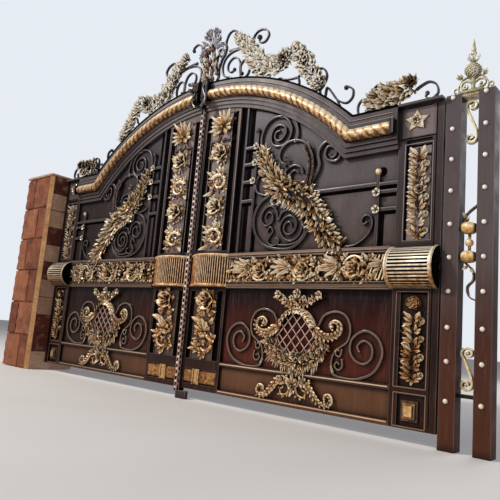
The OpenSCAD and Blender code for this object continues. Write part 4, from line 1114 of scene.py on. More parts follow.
def hinge_foliage(shape):
    """A vine up the hinge stile, a rosette at the middle rail and a star at the top."""
    x, y = HINGE_X, RECESS_Y - 0.001
    for z0, z1, bloom in ((1.262, 1.905, 1.6), (0.3, 0.76, None)):
        wave = np.linspace(z0, z1, 30)
        stem = np.stack([x + 0.012 * np.sin((wave - z0) * 16), wave], -1)
        scroll(shape, stem, 0.008, y - 0.008, y, relief=0.15)
        dark_leaves(shape, x - 0.07, x + 0.062, z0 + 0.02, z1 - 0.02, y + 0.003, int(90 * (z1 - z0)))
        count = int(round((z1 - z0 - 0.05) / 0.058))
        for i in range(count):
            z, side = z0 + 0.03 + i * (z1 - z0 - 0.05) / count, (-1) ** i
            size = rng.uniform(0.88, 1.06)
            start, end = 180 + 30 * side, 180 + 420 * side
            curl = spiral((x + side * 0.044, z + 0.022), 0.027 * size, 0.007, start, end, 22)
            acanthus_scroll(shape, curl, y - 0.006, 0.018, 0.008, 0.026, 0.02, 0.022, side, 0.9)
            for k, (turn, length) in enumerate(((30, 0.072), (62, 0.068), (98, 0.056))):
                leaves(
                    shape, LOBED, [(x - side * 0.006, z)], y - 0.008 - 0.003 * k,
                    90 + side * turn + rng.normal(0, 5), length * size, 0.026, 16, side * 12,
                    rng.uniform(-0.1, 0.32),
                )
            leaves(
                shape, LOBED, [(x + side * 0.004, z - 0.01)], y - 0.012, 90 - side * 40, 0.056, 0.022, 18, 0,
                rng.uniform(-0.1, 0.3),
            )
            for turn, length in ((48, 0.066), (84, 0.06), (112, 0.046)):
                leaves(
                    shape, LOBED, [(x + side * 0.01, z - 0.004)], y - 0.006,
                    90 - side * turn + rng.normal(0, 6), length * size, 0.024, 14, side * -10,
                    rng.uniform(-0.15, 0.3),
                )
        if bloom:
            rose(shape, (x + 0.014, bloom), y - 0.02, 0.036, 3)
    for s in (-1, 1):
        leaves(
            shape, LOBED, [(x + s * 0.012, 1.845), (x + s * 0.012, 0.7)], y - 0.01, 90 - s * 30, 0.078, 0.036,
            18, s * 14, 0.25,
        )
    sprig(shape, (x, 1.275), y, -90, 0.045, 3, 90)
    sprig(shape, (x, 0.325), y, -90, 0.05, 3, 90)
    turned(shape, (x, y, ROSETTE_Z), mm(0, -20, 34, -20, 42, -16, 48, -8, 50, 0, 0, 0), "y", 24, 0.35)
    for count, size, lift, tone in ((7, 0.046, 0.018, -0.25), (6, 0.032, 0.024, -0.1), (4, 0.02, 0.03, 0.05)):
        whorl(shape, PETAL, (x, ROSETTE_Z), y - lift, count, 900 * size, size, size * 0.9, 12, 20, tone)
    ball(shape, (x, y - 0.034, ROSETTE_Z), 0.007, 7, 12, 0.6)
    five_point_star(shape, STAR_AT, 0.0005, 0.08)


def five_point_star(shape, centre, y, r):
    """A faceted star whose ridges run to its points, with a small flower at its heart."""
    a = np.radians(90 + 36 * np.arange(10))
    reach = np.where(np.arange(10) % 2 == 0, r, r * 0.5)
    depth = np.where(np.arange(10) % 2 == 0, y - 0.008, y - 0.004)
    ring = np.stack([centre[0] + reach * np.cos(a), depth, centre[1] + reach * np.sin(a)], -1)
    foot = ring.copy()
    foot[:, 1] = y + 0.001
    shape.add(np.concatenate([foot, ring]), grid_faces(2, 10, wrap_cols=True), np.repeat([0.2, 0.75], 10))
    shape.fan(ring, np.array([centre[0], y - 0.026, centre[1]]), 0.75)
    shape.fan(foot, np.array([centre[0], y + 0.001, centre[1]]), 0.2)
    whorl(shape, PETAL, centre, y - 0.022, 5, 90, 0.04, 0.036, 12, tone=0.3)
    whorl(shape, PETAL, centre, y - 0.028, 5, 126, 0.026, 0.024, 16, tone=0.1)
    ball(shape, (centre[0], y - 0.034, centre[1]), 0.007, 6, 10, 0.1)


def rail_foliage(shape, brown):
    """Big acanthus leaves between flower bosses, in the band of the middle rail."""
    low, high, y = RAIL_LOW + 0.058, RAIL_TOP - 0.044, 0.006
    mid = (low + high) / 2
    for i, x in enumerate((0.872, 1.305, 1.757)):
        open_flower(brown, (x, mid - 0.01), y - 0.002, 0.076, 25 * i)
        top = i == 2
        arc = spiral((x, mid - 0.004), 0.092, 0.086, *((20, 160) if top else (190, 350)), 24)
        scroll(shape, arc, 0.02, y - 0.022, y, 0.6, 0.01, 0.95)
        for s in (-1, 1):
            heart = (x + s * 0.1, mid + (0.06 if top else 0.07))
            curl = spiral(heart, 0.024, 0.008, 90 - s * 40, 90 + s * 240, 18)
            acanthus_scroll(shape, curl, y - 0.002, 0.018, 0.01, 0.03, 0.024, 0.022, s, 0.85)
            leaves(
                shape, LOBED, [(x + s * 0.05, mid + 0.065)], y - 0.006, 90 - s * 40, 0.06, 0.034, 12,
                tone=0.2,
            )
            sprig(brown, (x + s * 0.1, mid - 0.06), y - 0.002, 90 - s * 140, 0.055, 4, 120, 0.0)
    for i, x in enumerate((0.655, 1.085, 1.54, 1.9)):
        size = 0.185 if i < 3 else 0.12
        sprig(shape, (x + 0.092, mid + 0.02), y - 0.004, 186, size, 6, 78, 0.15, 0.24)
        sprig(shape, (x + 0.08, mid + 0.024), y - 0.016, 180, size * 0.66, 3, 40, 0.2, 0.28, PLUME)
        sprig(shape, (x + 0.085, mid - 0.02), y - 0.004, 40, 0.07, 4, 150, 0.0)
        curl = spiral((x + 0.01, mid + 0.072), 0.022, 0.008, 0, 300, 18)
        acanthus_scroll(shape, curl, y, 0.018, 0.01, 0.032, 0.024, 0.022, 1, 0.85)
        for k in range(3):
            ball(shape, (x - 0.06 + 0.055 * k, y - 0.008, low + 0.01), 0.011, 6, 8, 0.9)
    xs = np.arange(0.54, 1.96, 0.046)
    for z, angle in ((high - 0.004, -90), (low + 0.004, 90)):
        tilt = angle + rng.normal(0, 30, len(xs))
        leaves(
            brown, LOBED, np.stack([xs, np.full(len(xs), z)], -1), y + 0.002, tilt, 0.052, 0.034, 8,
            tone=-0.05,
        )
    for z in np.linspace(low + 0.02, high - 0.02, 5):
        spots = np.stack([xs + rng.normal(0, 0.012, len(xs)), z + rng.normal(0, 0.008, len(xs))], -1)
        leaves(
            brown, LOBED, spots, y + 0.004, rng.uniform(0, 360, len(xs)), 0.06, 0.036, 10, 0,
            rng.uniform(-0.3, 0.2, len(xs)),
        )
    spots = np.stack([rng.uniform(0.54, 1.92, 110), rng.uniform(low + 0.012, high - 0.012, 110)], -1)
    leaves(
        shape, LOBED, spots, y - 0.01, rng.uniform(0, 360, 110), 0.05, 0.034, 14, 0,
        rng.uniform(-0.1, 0.35, 110),
    )
    for k in range(5):
        x = 1.905 + 0.028 * k
        stripe = [(x - 0.03, low + 0.012), (x + 0.03, high - 0.012)]
        scroll(shape if k % 2 else brown, stripe, 0.013, y - 0.014, y, 0.8, 0.05, 0.85)


def panel_gilding():
    """Foliage, foot blocks and trim of the stiles, the rails and the kick panel."""
    shape, brown, meeting, hinge = Shape(), Shape(), Shape(), Shape()
    meeting_foliage(meeting)
    hinge_foliage(hinge)
    rail_foliage(shape, brown)
    for part, middle, wider in ((meeting, MEET_X + 0.01, 1.2), (hinge, HINGE_X, 1.14)):
        for points in part.points:
            points[:, 0] = middle + wider * (points[:, 0] - middle)
    both(shape, "rail_acanthus", GILT, "gilt", "panel_foliage")
    both(meeting, "meeting_garland", STILE_GOLD, "gilt", "panel_foliage")
    both(hinge, "hinge_garland", STILE_GOLD, "gilt", "panel_foliage")
    both(brown, "rail_flowers", BRONZE_GOLD, "gilt", "panel_foliage")
    plates = Shape()
    for k in range(3):
        inset, front = 0.014 * k, 0.005 - 0.012 * k
        tone = 0.45 + 0.2 * k
        box(plates, 2.158 + inset, 2.274 - inset, front, RECESS_Y, 0.049 + inset, 0.18 - inset, 0.004, tone)
    box(plates, 0.06, 0.457, -0.004, RECESS_Y, 0.06, 0.17, 0.01, 0.55)
    box(plates, 0.196, 0.252, -0.012, 0.0, 0.05, 0.18, 0.008, 0.75)
    for x in (0.19, 0.258):
        box(plates, x - 0.005, x + 0.005, -0.016, 0.0, 0.048, 0.182, 0.003, 0.9)
    both(plates, "foot_blocks", FOOT_GOLD, "drum_gold")

    # Beads and dark lines round the stiles' panels; the dark lines are painted shade along their edges and in
    # their sunk strips
    lines, beads = Shape(), Shape()
    floor = RECESS_Y - 0.0006
    for x0, x1, z0, z1 in (
        (2.131, 2.142, 1.251, 1.929), (2.131, 2.318, 1.916, 1.929), (2.308, 2.319, 1.251, 1.929),
        (2.106, 2.116, 0.269, 0.888), (2.106, 2.319, 0.876, 0.888),
    ):
        box(lines, x0, x1, floor - 0.0004, floor + 0.0005, z0, z1)
    box(lines, 0.126, 0.386, -0.0004, 0.001, 2.283, 2.297)
    box(lines, 0.126, 0.158, PLATE_Y - 0.0012, PLATE_Y + 0.001, 1.246, 2.274)
    box(lines, 2.344, 2.352, -0.0006, 0.001, 0.03, EAR_Z - 0.03)
    box(lines, 2.078, 2.344, -0.0006, 0.001, 1.974, 1.984)
    for x0, x1, z0, z1 in (
        (2.124, 2.326, 1.242, 1.935), (2.1, 2.326, 0.262, 0.894), (2.104, 2.326, 0.012, 0.226),
    ):
        for a, b in (((x0, z0), (x1, z0)), ((x0, z1), (x1, z1)), ((x0, z0), (x0, z1)), ((x1, z0), (x1, z1))):
            scroll(beads, [a, b], 0.006, -0.003, 0.001, 1.0, 0.3, 0.7)
    for x in (0.034, 0.484):
        scroll(beads, [(x, RAIL_TOP + 0.01), (x, 2.62)], 0.007, -0.003, 0.001, 1.0, 0.3, 0.7)
    for x in (0.1225, 0.3895):
        for z0, z1 in ((1.2445, 2.606), (0.2695, 0.8785)):
            scroll(beads, [(x, z0), (x, z1)], 0.005, -0.002, 0.001, 1.0, 0.3, 0.7)
    for x0, x1 in ((0.0575, 0.1185), (0.3965, 0.4585)):
        for z0, z1 in ((1.2445, 2.2745), (2.3175, 2.605), (0.2695, 0.8785)):
            box(lines, x0, x1, floor - 0.0006, floor + 0.0005, z0, z1)
        box(lines, x0, x1, -0.0008, 0.0005, 2.272, 2.32)
    # Pale strips along the kick panel's upper and lower edges: painted highlights
    light = Shape()
    for z in (0.252, 0.024):
        scroll(light, [(PANEL_IN + 0.01, z), (PANEL_OUT - 0.01, z)], 0.01, -0.003, 0.001, 1.0, 0.3, 0.9)
    both(light, "kick_highlight_strips", KICK_HIGHLIGHT, "iron")
    for z in (1.2065, 1.1735, 0.959, 0.91):
        scroll(beads, [(PANEL_IN + 0.03, z), (PANEL_OUT - 0.02, z)], 0.006, -0.0225, -0.019, 1.0, 0.3, 0.9)
    both(lines, "panel_shade_lines", BLACK, "dark_iron")
    both(beads, "panel_beads", BEAD, "iron")
    star = Shape()
    box(star, 2.098, 2.338, 0.001, RECESS_Y, 1.986, 2.204, 0.004, 0.5)
    box(star, 2.143, 2.307, floor - 0.0002, floor + 0.0005, 1.251, 1.915)
    both(star, "star_plate", STAR_PLATE, "iron")
    plate = Shape()
    for z0, z1 in ((1.2445, 2.274), (2.318, 2.605), (0.2695, 0.8785)):
        box(plate, 0.1275, 0.3845, PLATE_Y - 0.0008, PLATE_Y + 0.0005, z0, z1, 0.0005)
    both(plate, "stile_plate", STILE_PLATE, "iron")


panel_gilding()


# Drums over the rail's ends


def rim_ring(shape, path, thick, pitch):
    """A cord of small beads along a path in space."""
    gaps = np.linalg.norm(np.diff(path, axis=0), axis=1)
    s = np.concatenate([[0], np.cumsum(gaps)])
    n = max(2, int(s[-1] / (pitch / 6)))
    at = np.linspace(0, s[-1], n)
    p = np.stack([np.interp(at, s, path[:, k]) for k in range(3)], -1)
    swell = np.abs(np.sin(np.pi * at / pitch)) ** 0.5
    rod(shape, p, thick * (0.72 + 0.28 * swell), 9, (0.35 + 0.5 * swell).mean())


def roller_drum(shape, cap):
    """The fluted roller over the hinge end of the middle rail, with dark end caps."""
    r, back, x0, length = 0.145, 0.02, PANEL_OUT - 0.02, 0.337
    reach = math.acos(-back / r)
    turn = np.linspace(-reach, reach, 260)[None]
    rim = np.array([0, 0.004, 0.018, 0.026, 0.03])
    x = np.concatenate([rim, length - rim[::-1]])[:, None]
    ends = np.array([0.95, 1, 1, 0.95, 0, 0, 0.95, 1, 1, 0.95])[:, None]
    ridges = 19
    wave = (ridges * (turn + reach) / (2 * reach)) % 1.0
    bar = ((wave > 0.24) & (wave < 0.76)).astype(float)
    soft = np.clip((0.3 - np.abs(wave - 0.5)) / 0.06, 0, 1)
    radius = ends * r + (1 - ends) * (r - 0.024 + 0.021 * soft)
    points = np.stack([x0 + x + 0 * turn, back - radius * np.cos(turn), DRUM_Z + radius * np.sin(turn)], -1)
    relief = np.where(ends > 0.5, 0.75, -0.3 + 1.15 * bar) + 0 * points[..., 0]
    shape.add(points, grid_faces(*points.shape[:2]), relief)
    for x_ring in (x0 + 0.011, x0 + length - 0.011):
        a = np.linspace(-reach, reach, 60)
        ring = np.stack(
            [0 * a + x_ring, back - (r - 0.003) * np.cos(a), DRUM_Z + (r - 0.003) * np.sin(a)], -1,
        )
        rim_ring(shape, ring, 0.0095, 0.024)
    a = np.linspace(-reach, reach, 48)
    rings = mm(1000, 0, 920, 4, 900, 10, 750, 12, 500, 14, 200, 14.5)
    k, out = rings[:, :1], rings[:, 1:]
    height = r * 0.985 * k
    depth = np.where(k > 0.3, height, r * k)
    for x_end, sign in ((x0 + length, 1), (x0, -1)):
        x = x_end + sign * 0.55 * out + 0 * a
        points = np.stack([x, back - depth * np.cos(a), DRUM_Z + height * np.sin(a)], -1)
        points[..., 1] = np.minimum(points[..., 1], 0.0)
        cap.add(points, grid_faces(*points.shape[:2]), 0.4)


def capital_drum(shape, plain_outside):
    """The fluted capital over the meeting stile. Its flutes fade out towards one side."""
    width, out = 0.489, 0.1
    r = (width**2 / 4 + out**2) / (2 * out)
    half = math.asin(width / 2 / r)
    mid = EDGE_IN + width / 2
    z0, z1 = RAIL_LOW + 0.008, RAIL_TOP
    turn = np.linspace(-half, half, 460)[None]
    rim = np.array([0, 0.003, 0.012, 0.02, 0.026, 0.034])
    heights = np.concatenate([z0 + rim, [(z0 + z1) / 2], z1 - rim[::-1]])[:, None]
    ends = np.array([0.7, 1, 1, 1, 0.6, 0, 0, 0, 0.6, 1, 1, 1, 0.7])[:, None]
    share = (turn + half) / (2 * half)
    share = 1 - share if plain_outside else share
    flutes = 23
    deep = np.clip((share - 0.24) / 0.1, 0, 1)
    wave = np.abs(np.cos(np.pi * flutes * share)) ** 2.0
    soft = 1 - deep * (1 - wave)
    body = r - 0.016 + 0.011 * soft
    radius = ends * (r - 0.002) + (1 - ends) * body
    points = np.stack([mid + radius * np.sin(turn), r - out - radius * np.cos(turn), heights + 0 * turn], -1)
    points[..., 1] = np.minimum(points[..., 1], 0.0)
    tone = np.where(deep < 0.5, 0.52 + 0 * soft, -0.1 + 1.0 * soft)
    relief = np.where(ends > 0.5, 0.72, tone) + 0 * points[..., 0]
    shape.add(points, grid_faces(*points.shape[:2]), relief)
    for z_ring in (z0 + 0.012, z1 - 0.012):
        a = np.linspace(-half * 0.98, half * 0.98, 60)
        ring = np.stack(
            [mid + (r - 0.004) * np.sin(a), r - out - (r - 0.004) * np.cos(a), 0 * a + z_ring], -1,
        )
        rim_ring(shape, ring, 0.0105, 0.026)
    for z_end, edge in ((z0, points[0]), (z1, points[-1])):
        shape.fan(edge, np.array([mid, 0.0, z_end]), 0.4)


def drums():
    """The roller and the capital of both leaves."""
    cap = Shape()
    for side, mirrored in SIDES:
        gold, capital = Shape(), Shape()
        roller_drum(gold, cap if side == "right" else Shape())
        capital_drum(capital, mirrored)
        pieces = ((gold, "fluted_roller", DRUM_GOLD), (capital, "fluted_capital", CAPITAL_GOLD))
        for drum, name, material in pieces:
            drum.build(
                f"{side}_{name}", material, f"{side}_leaf", "drum_gold", f"{side}_drums",
                mirrored=mirrored, crease=50,
            )
    both(cap, "drum_caps", BLACK, "iron")


drums()


# Lower panel: scrolls, shield, bouquet and wheat


def lower_panel():
    """Everything on the lower sheet and the kick panel."""
    iron, gold, net, pale = Shape(), Shape(), Shape(), Shape()
    front, back = 0.004, SEAT_Y
    m = PANEL_MID

    def sided(side, *values):
        """A smooth curve through points in millimetres, at one side of the panel's middle."""
        return smooth(mm(*values) * [side, 1] + [m, 0])

    def twin(width, *values):
        """A scroll through points in millimetres, and its mirror image in the panel's middle."""
        path = curve(*values)
        for side in (path, path * [-1, 1] + [2 * m, 0]):
            scroll(iron, side, width, front, back, 0.75, relief=0.78)

    twin(
        0.018, 955, 343, 930, 286, 839, 266, 732, 275, 612, 334, 552, 459, 589, 566, 690, 613, 786, 557,
        806, 470, 765, 405, 690, 382, 632, 432, 636, 510, 696, 543, 746, 505, 730, 462,
    )
    twin(
        0.016, 1085, 629, 1036, 709, 938, 739, 850, 709, 810, 620, 828, 530, 884, 485, 937, 440, 955, 361,
        935, 300,
    )
    twin(0.012, 870, 470, 885, 418, 920, 430, 915, 466, 890, 456)
    twin(0.012, 868, 400, 862, 345, 895, 322, 925, 348, 908, 378, 888, 362)

    # Gilt acanthus volutes on the shield's shoulders
    for s in (-1, 1):
        path = sided(s, 175, 600, 245, 552, 335, 548, 395, 590, 392, 650, 340, 672, 300, 640, 318, 606)
        acanthus_scroll(gold, path, 0.0, 0.03, 0.014, 0.062, 0.04, 0.04, s, 0.85)
        acanthus_scroll(gold, path[:30], -0.008, 0.012, 0.01, 0.06, 0.034, 0.034, -s, 0.8)
        ball(gold, (m + s * 0.325, -0.01, 0.625), 0.014)

    # Shield: a rim, a diamond lattice of crossing bars, and a leafy edge
    half_w, half_h, centre = 0.19, 0.205, 0.548
    turn = np.radians(np.linspace(90, 450, 120))
    rim = np.stack(
        [m + half_w * np.cos(turn) * (1 - 0.08 * np.sin(turn)), centre + half_h * np.sin(turn)], -1,
    )
    scroll(net, rim, 0.012, -0.006, back, 1.0, relief=0.6)
    pitch, bar = 0.064, 0.0058
    for s in (-1, 1):
        direction = np.array([math.cos(math.radians(50)), s * math.sin(math.radians(50))])
        normal = np.array([-direction[1], direction[0]])
        for i in range(-6, 7):
            t = np.linspace(-0.3, 0.3, 121)[:, None]
            line = np.array([m, centre]) + i * pitch * normal + t * direction
            across, up = (line - [m, centre]).T / [[half_w - 0.006], [half_h - 0.006]]
            inside = across**2 + up**2 < 1
            if inside.sum() > 5:
                kept = line[inside]
                over = -0.006 if s > 0 else -0.001
                scroll(net, kept[[0, -1]], bar, over, over + 0.01, 1.0, 0.4, 0.9)

    angle = np.linspace(22, 158, 11)
    a = np.radians(angle)
    edge = np.stack([m + half_w * np.cos(a), centre + half_h * np.sin(a)], -1)
    scroll(gold, smooth(edge, 6), 0.011, -0.01, 0.0, 1.0, relief=0.9)
    inward = angle + 180 + 26 * np.sign(angle - 90)
    leaves(gold, PETAL, edge, -0.01, inward, 0.05, 0.044, 14, tone=0.3)
    leaves(gold, LOBED, edge, -0.008, angle + 100 * np.sign(90 - angle), 0.052, 0.026, 14, tone=0.2)

    # Wheat round the shield's lower half, with a garland of buds in front
    for r, length, tilt, count, width in (
        (0.185, 0.12, 22, 25, 0.012), (0.215, 0.13, 34, 29, 0.011),
        (0.235, 0.125, 52, 29, 0.01), (0.25, 0.09, 66, 25, 0.01),
    ):
        angle = np.linspace(180, 360, count)
        angle = angle[np.abs(angle - 270) > 8]
        a = np.radians(angle + rng.normal(0, 1.5, len(angle)))
        at = np.stack([m + r * np.cos(a), 0.515 + 0.82 * r * np.sin(a)], -1)
        lean = np.sign(angle - 270) * -tilt + rng.normal(0, 9, len(a))
        size = length * rng.uniform(0.7, 1.12, len(a))
        leaves(
            gold, SPIKE, at, 0.01 - 0.08 * (0.26 - r), angle + lean, size, width, 12,
            tone=rng.uniform(-0.15, 0.3, len(a)),
        )
    for s in (-1, 1):
        spine = sided(s, 20, 350, 110, 362, 200, 410, 262, 470)
        leaf_mass(gold, spine, 0.002, (0.07, 0.09, 0.09, 0.06), 0.052, 0.03, 0.032, 4, 0.3, LOBED, 60, 16)
        for i, p in enumerate(even(spine, 0.06)):
            rose(gold if s < 0 else pale, p + [0, 0.012], -0.016, 0.022 + 0.004 * (i % 2), 2, 17 * i)
        for i in range(7):
            a = math.radians(206 + 11 * i if s < 0 else 334 - 11 * i)
            foot = np.array([m + 0.165 * math.cos(a), 0.548 + 0.178 * math.sin(a)])
            spike = np.stack([foot, foot + 0.06 * np.array([s * 0.55, 0.83])])
            scroll(net, spike, 0.0045, -0.006, 0.002, 0.6, 0.2, 0.8)
    open_flower(pale, (m + 0.006, 0.392), -0.018, 0.04)
    sprig(gold, (m, 0.335), -0.01, -90, 0.06, 4, 110, 0.1)
    sprig(gold, (m, 0.262), -0.004, 90, 0.06, 4, 100, 0.0)

    # Bouquet over the shield
    for s in (-1, 1):
        for x, z, r in ((0.195, 0.86, 0.032), (0.128, 0.812, 0.026), (0.06, 0.832, 0.024)):
            whorl(pale, PETAL, (m + s * x, z), -0.008, 5, 20, r, r, 12, tone=0.2)
            ball(pale, (m + s * x, -0.012, z), r * 0.25, 6, 10, 0.1)
        stem = sided(s, 10, 778, 90, 788, 150, 830, 195, 850)
        scroll(gold, stem, 0.01, -0.006, 0.006, 0.8)
        at = even(stem, 0.034)
        for t in (-1, 1):
            leaves(
                gold, LOBED, at, -0.004, headings(at) + t * 52, 0.046, 0.028, 14,
                tone=rng.uniform(-0.2, 0.15, len(at)),
            )
    sprig(gold, (m, 0.815), -0.004, 90, 0.065, 5, 150)
    whorl(pale, PETAL, (m, 0.868), -0.012, 5, 90, 0.04, 0.038, 14, tone=0.1)
    ball(pale, (m, -0.016, 0.868), 0.01, 6, 10, 0.0)
    sprig(gold, (m, 0.79), -0.002, -90, 0.04, 3, 120)

    # Base leaves on the kick panel, with a curl at each end
    for s in (-1, 1):
        path = sided(
            s, 10, 150, 65, 195, 130, 192, 185, 135, 240, 78, 305, 55, 352, 85, 335, 135, 290, 128, 288, 95,
        )
        acanthus_scroll(gold, path, 0.002, 0.03, 0.016, 0.052, 0.034, 0.036, s, 0.8)
        acanthus_scroll(gold, path[8:44], -0.006, 0.01, 0.008, 0.056, 0.034, 0.036, -s, 0.75)
        path = sided(s, 15, 175, 45, 105, 105, 88, 118, 128, 90, 140)
        acanthus_scroll(gold, path, 0.002, 0.018, 0.01, 0.04, 0.028, 0.034, -s, 0.7)
        rose(gold, (m + s * 0.1, 0.205), -0.008, 0.026, 2)
        for k in range(3):
            ball(gold, (m + s * (0.06 + 0.045 * k), -0.004, 0.232 - 0.008 * k), 0.01, 6, 8, 0.8)
    sprig(gold, (m, 0.165), -0.004, 90, 0.085, 5, 130, 0.1)
    sprig(gold, (m, 0.15), -0.004, -90, 0.08, 3, 70, 0.1)
    rose(gold, (m, 0.165), -0.018, 0.032, 2)
    both(pale, "lower_blooms", PALE_GILT, "gilt", "lower_foliage")
    both(iron, "lower_scrollwork", LOWER_IRON, "gilt", "lower_scrolls")
    both(net, "shield_net", LATTICE, "gilt", "shield_lattice")
    both(gold, "lower_leafwork", GILT, "gilt", "lower_foliage")


lower_panel()


# Crest over the arch

CREST_Y = 0.02
CREST_BACK = 0.046


def seat_height(x):
    """Height of the leaf's upper edge: the arch, or the ear beyond it."""
    return EAR_Z if x > EAR_X else ARCH_Z + math.sqrt(ARCH_R**2 - x * x)


def crest():
    """The scrolls, garlands and roses over the arch and the ear."""
    iron, gold, dark, dark_gold = Shape(), Shape(), Shape(), Shape()

    def strand(width, taper, *values, start=None, end=None):
        """A scroll through points in millimetres. Where `start` or `end` gives an x, that end
        stands on the arch or the ear."""
        first, last = ([] if x is None else [(x, seat_height(x))] for x in (start, end))
        path = smooth([*first, *mm(*values), *last])
        scroll(iron, path, width, CREST_Y, CREST_BACK, taper, relief=0.6)

    def bud(x, z, r=0.019):
        ball(iron, (x, (CREST_Y + CREST_BACK) / 2, z), r, 8, 14)

    strand(
        0.018, 0.75, 480, 3160, 520, 3240, 548, 3312, 615, 3338, 688, 3312, 718, 3252, 680, 3200, 620, 3206,
        600, 3245,
    )
    bud(0.608, 3.262, 0.026)
    strand(0.021, 0.75, 225, 3238, 300, 3232, 380, 3222, 470, 3195, 540, 3100, 640, 2920, end=0.73)
    strand(0.018, 0.9, 350, 3222, 262, 3214, 185, 3175, 150, 3100, 165, 3010, 215, 2968, 270, 2950, end=0.29)
    strand(
        0.016, 0.75, 395, 2990, 385, 3060, 350, 3125, 290, 3146, 232, 3105, 228, 3040, 268, 3002, 312, 3012,
        start=0.405,
    )
    bud(0.316, 3.02)
    strand(
        0.016, 0.75, 395, 2960, 392, 3035, 430, 3082, 482, 3070, 512, 3005, 500, 2930, 452, 2902, 412, 2930,
    )
    bud(0.42, 2.952)
    strand(0.015, 0.75, 900, 2775, 965, 2748, 1075, 2738, 1130, 2768, 1160, 2830, start=0.85)
    strand(0.016, 0.75, 1090, 2740, 1105, 2700, end=1.11)
    strand(0.015, 0.75, 1240, 2760, 1310, 2756, 1360, 2738, 1390, 2670, 1365, 2600, 1330, 2560, end=1.34)
    strand(
        0.015, 0.9, 1400, 2565, 1445, 2515, 1500, 2440, 1560, 2398, 1605, 2392, 1645, 2430, 1644, 2490,
        1600, 2526, start=1.385,
    )
    bud(1.582, 2.52, 0.02)
    strand(0.013, 0.75, 1500, 2440, 1520, 2400, end=1.535)
    strand(0.014, 0.75, 1700, 2290, 1702, 2345, 1735, 2380, 1780, 2368, start=1.722)
    strand(0.013, 0.75, 1715, 2262, 1755, 2262, 1785, 2285)
    bud(1.788, 2.294, 0.016)
    strand(0.014, 0.75, 1810, 2380, 1826, 2440, 1865, 2470, 1910, 2448, 1915, 2405, start=1.812)
    strand(0.015, 0.75, 2170, 2355, 2215, 2380, 2270, 2394, 2322, 2360, 2334, 2300, 2300, 2266, 2258, 2270)
    bud(2.256, 2.312, 0.017)
    strand(0.012, 0.75, 2258, 2270, 2244, 2290, 2256, 2308)
    strand(0.014, 0.75, 2300, 2268, end=2.31)
    scroll(iron, [(1.72, EAR_Z + 0.006), (2.32, EAR_Z + 0.006)], 0.012, CREST_Y, CREST_BACK, 1.0, 0.3)

    garlands = (
        (
            curve(980, 2945, 860, 2900, 740, 2918, 640, 2990, 560, 3100, 480, 3215, 385, 3300),
            (0.13, 0.17, 0.18, 0.16, 0.13, 0.11, 0.08),
        ),
        (
            curve(960, 2945, 1030, 2972, 1105, 2950, 1160, 2880, 1212, 2790, 1270, 2695, 1335, 2605),
            (0.09, 0.11, 0.12, 0.12, 0.12, 0.11, 0.08),
        ),
    )
    for spine, wide in garlands:
        for lift, spread in ((0.01, 80), (-0.004, 80), (-0.016, 60)):
            y = CREST_Y + lift
            leaf_mass(gold, spine, y, wide, 0.062, 0.048, 0.037, 5, 0.2, LEAFLET, spread, 24, 50)
    at = even(
        curve(400, 3290, 545, 3110, 660, 2970, 800, 2890, 1060, 2990, 1150, 2930, 1240, 2770, 1325, 2640),
        0.085,
    )
    for i, p in enumerate(at):
        p = p + rng.normal(0, 0.022, 2)
        whorl(gold, PETAL, p, CREST_Y - 0.036, 5, 31 * i, 0.036, 0.036, 18, tone=0.3)
        ball(dark, (p[0], CREST_Y - 0.042, p[1]), 0.008, 6, 8, 0.3)
    for at, r in (((1.285, 2.72), 0.04), ((1.335, 2.625), 0.046)):
        whorl(gold, PETAL, at, CREST_Y - 0.038, 6, 0, r, r * 0.9, 22, tone=0.35)
        ball(dark, (at[0], CREST_Y - 0.046, at[1]), r * 0.3, 6, 10, 0.3)
    spine = curve(2150, 2385, 2070, 2362, 1980, 2345, 1900, 2336, 1840, 2325)
    wide = (0.11, 0.15, 0.17, 0.16, 0.1)
    for lift, spread in ((0.01, 66), (-0.004, 56), (-0.016, 40)):
        leaf_mass(dark_gold, spine, CREST_Y + lift, wide, 0.074, 0.044, 0.034, 5, 0.2, LOBED, spread, 20, 30)
    for at, r in (((0.95, 2.948), 0.074), ((2.148, 2.405), 0.066)):
        leaves(
            gold, LOBED, np.repeat([at], 7, 0), CREST_Y - 0.012, 51.4 * np.arange(7), r * 1.15, r * 0.7, 12,
        )
        open_flower(dark, at, CREST_Y - 0.034, r * 0.72)
    both(iron, "crest_scrollwork", SCROLL_IRON, "dark_iron", "crest_scrolls")
    both(gold, "crest_leafwork", CREST_GOLD, "crest_gold", "crest_foliage")
    both(dark_gold, "ear_leafwork", PALE_GILT, "crest_gold", "crest_foliage")
    both(dark, "crest_roses", DARK_ROSE, "crest_gold")


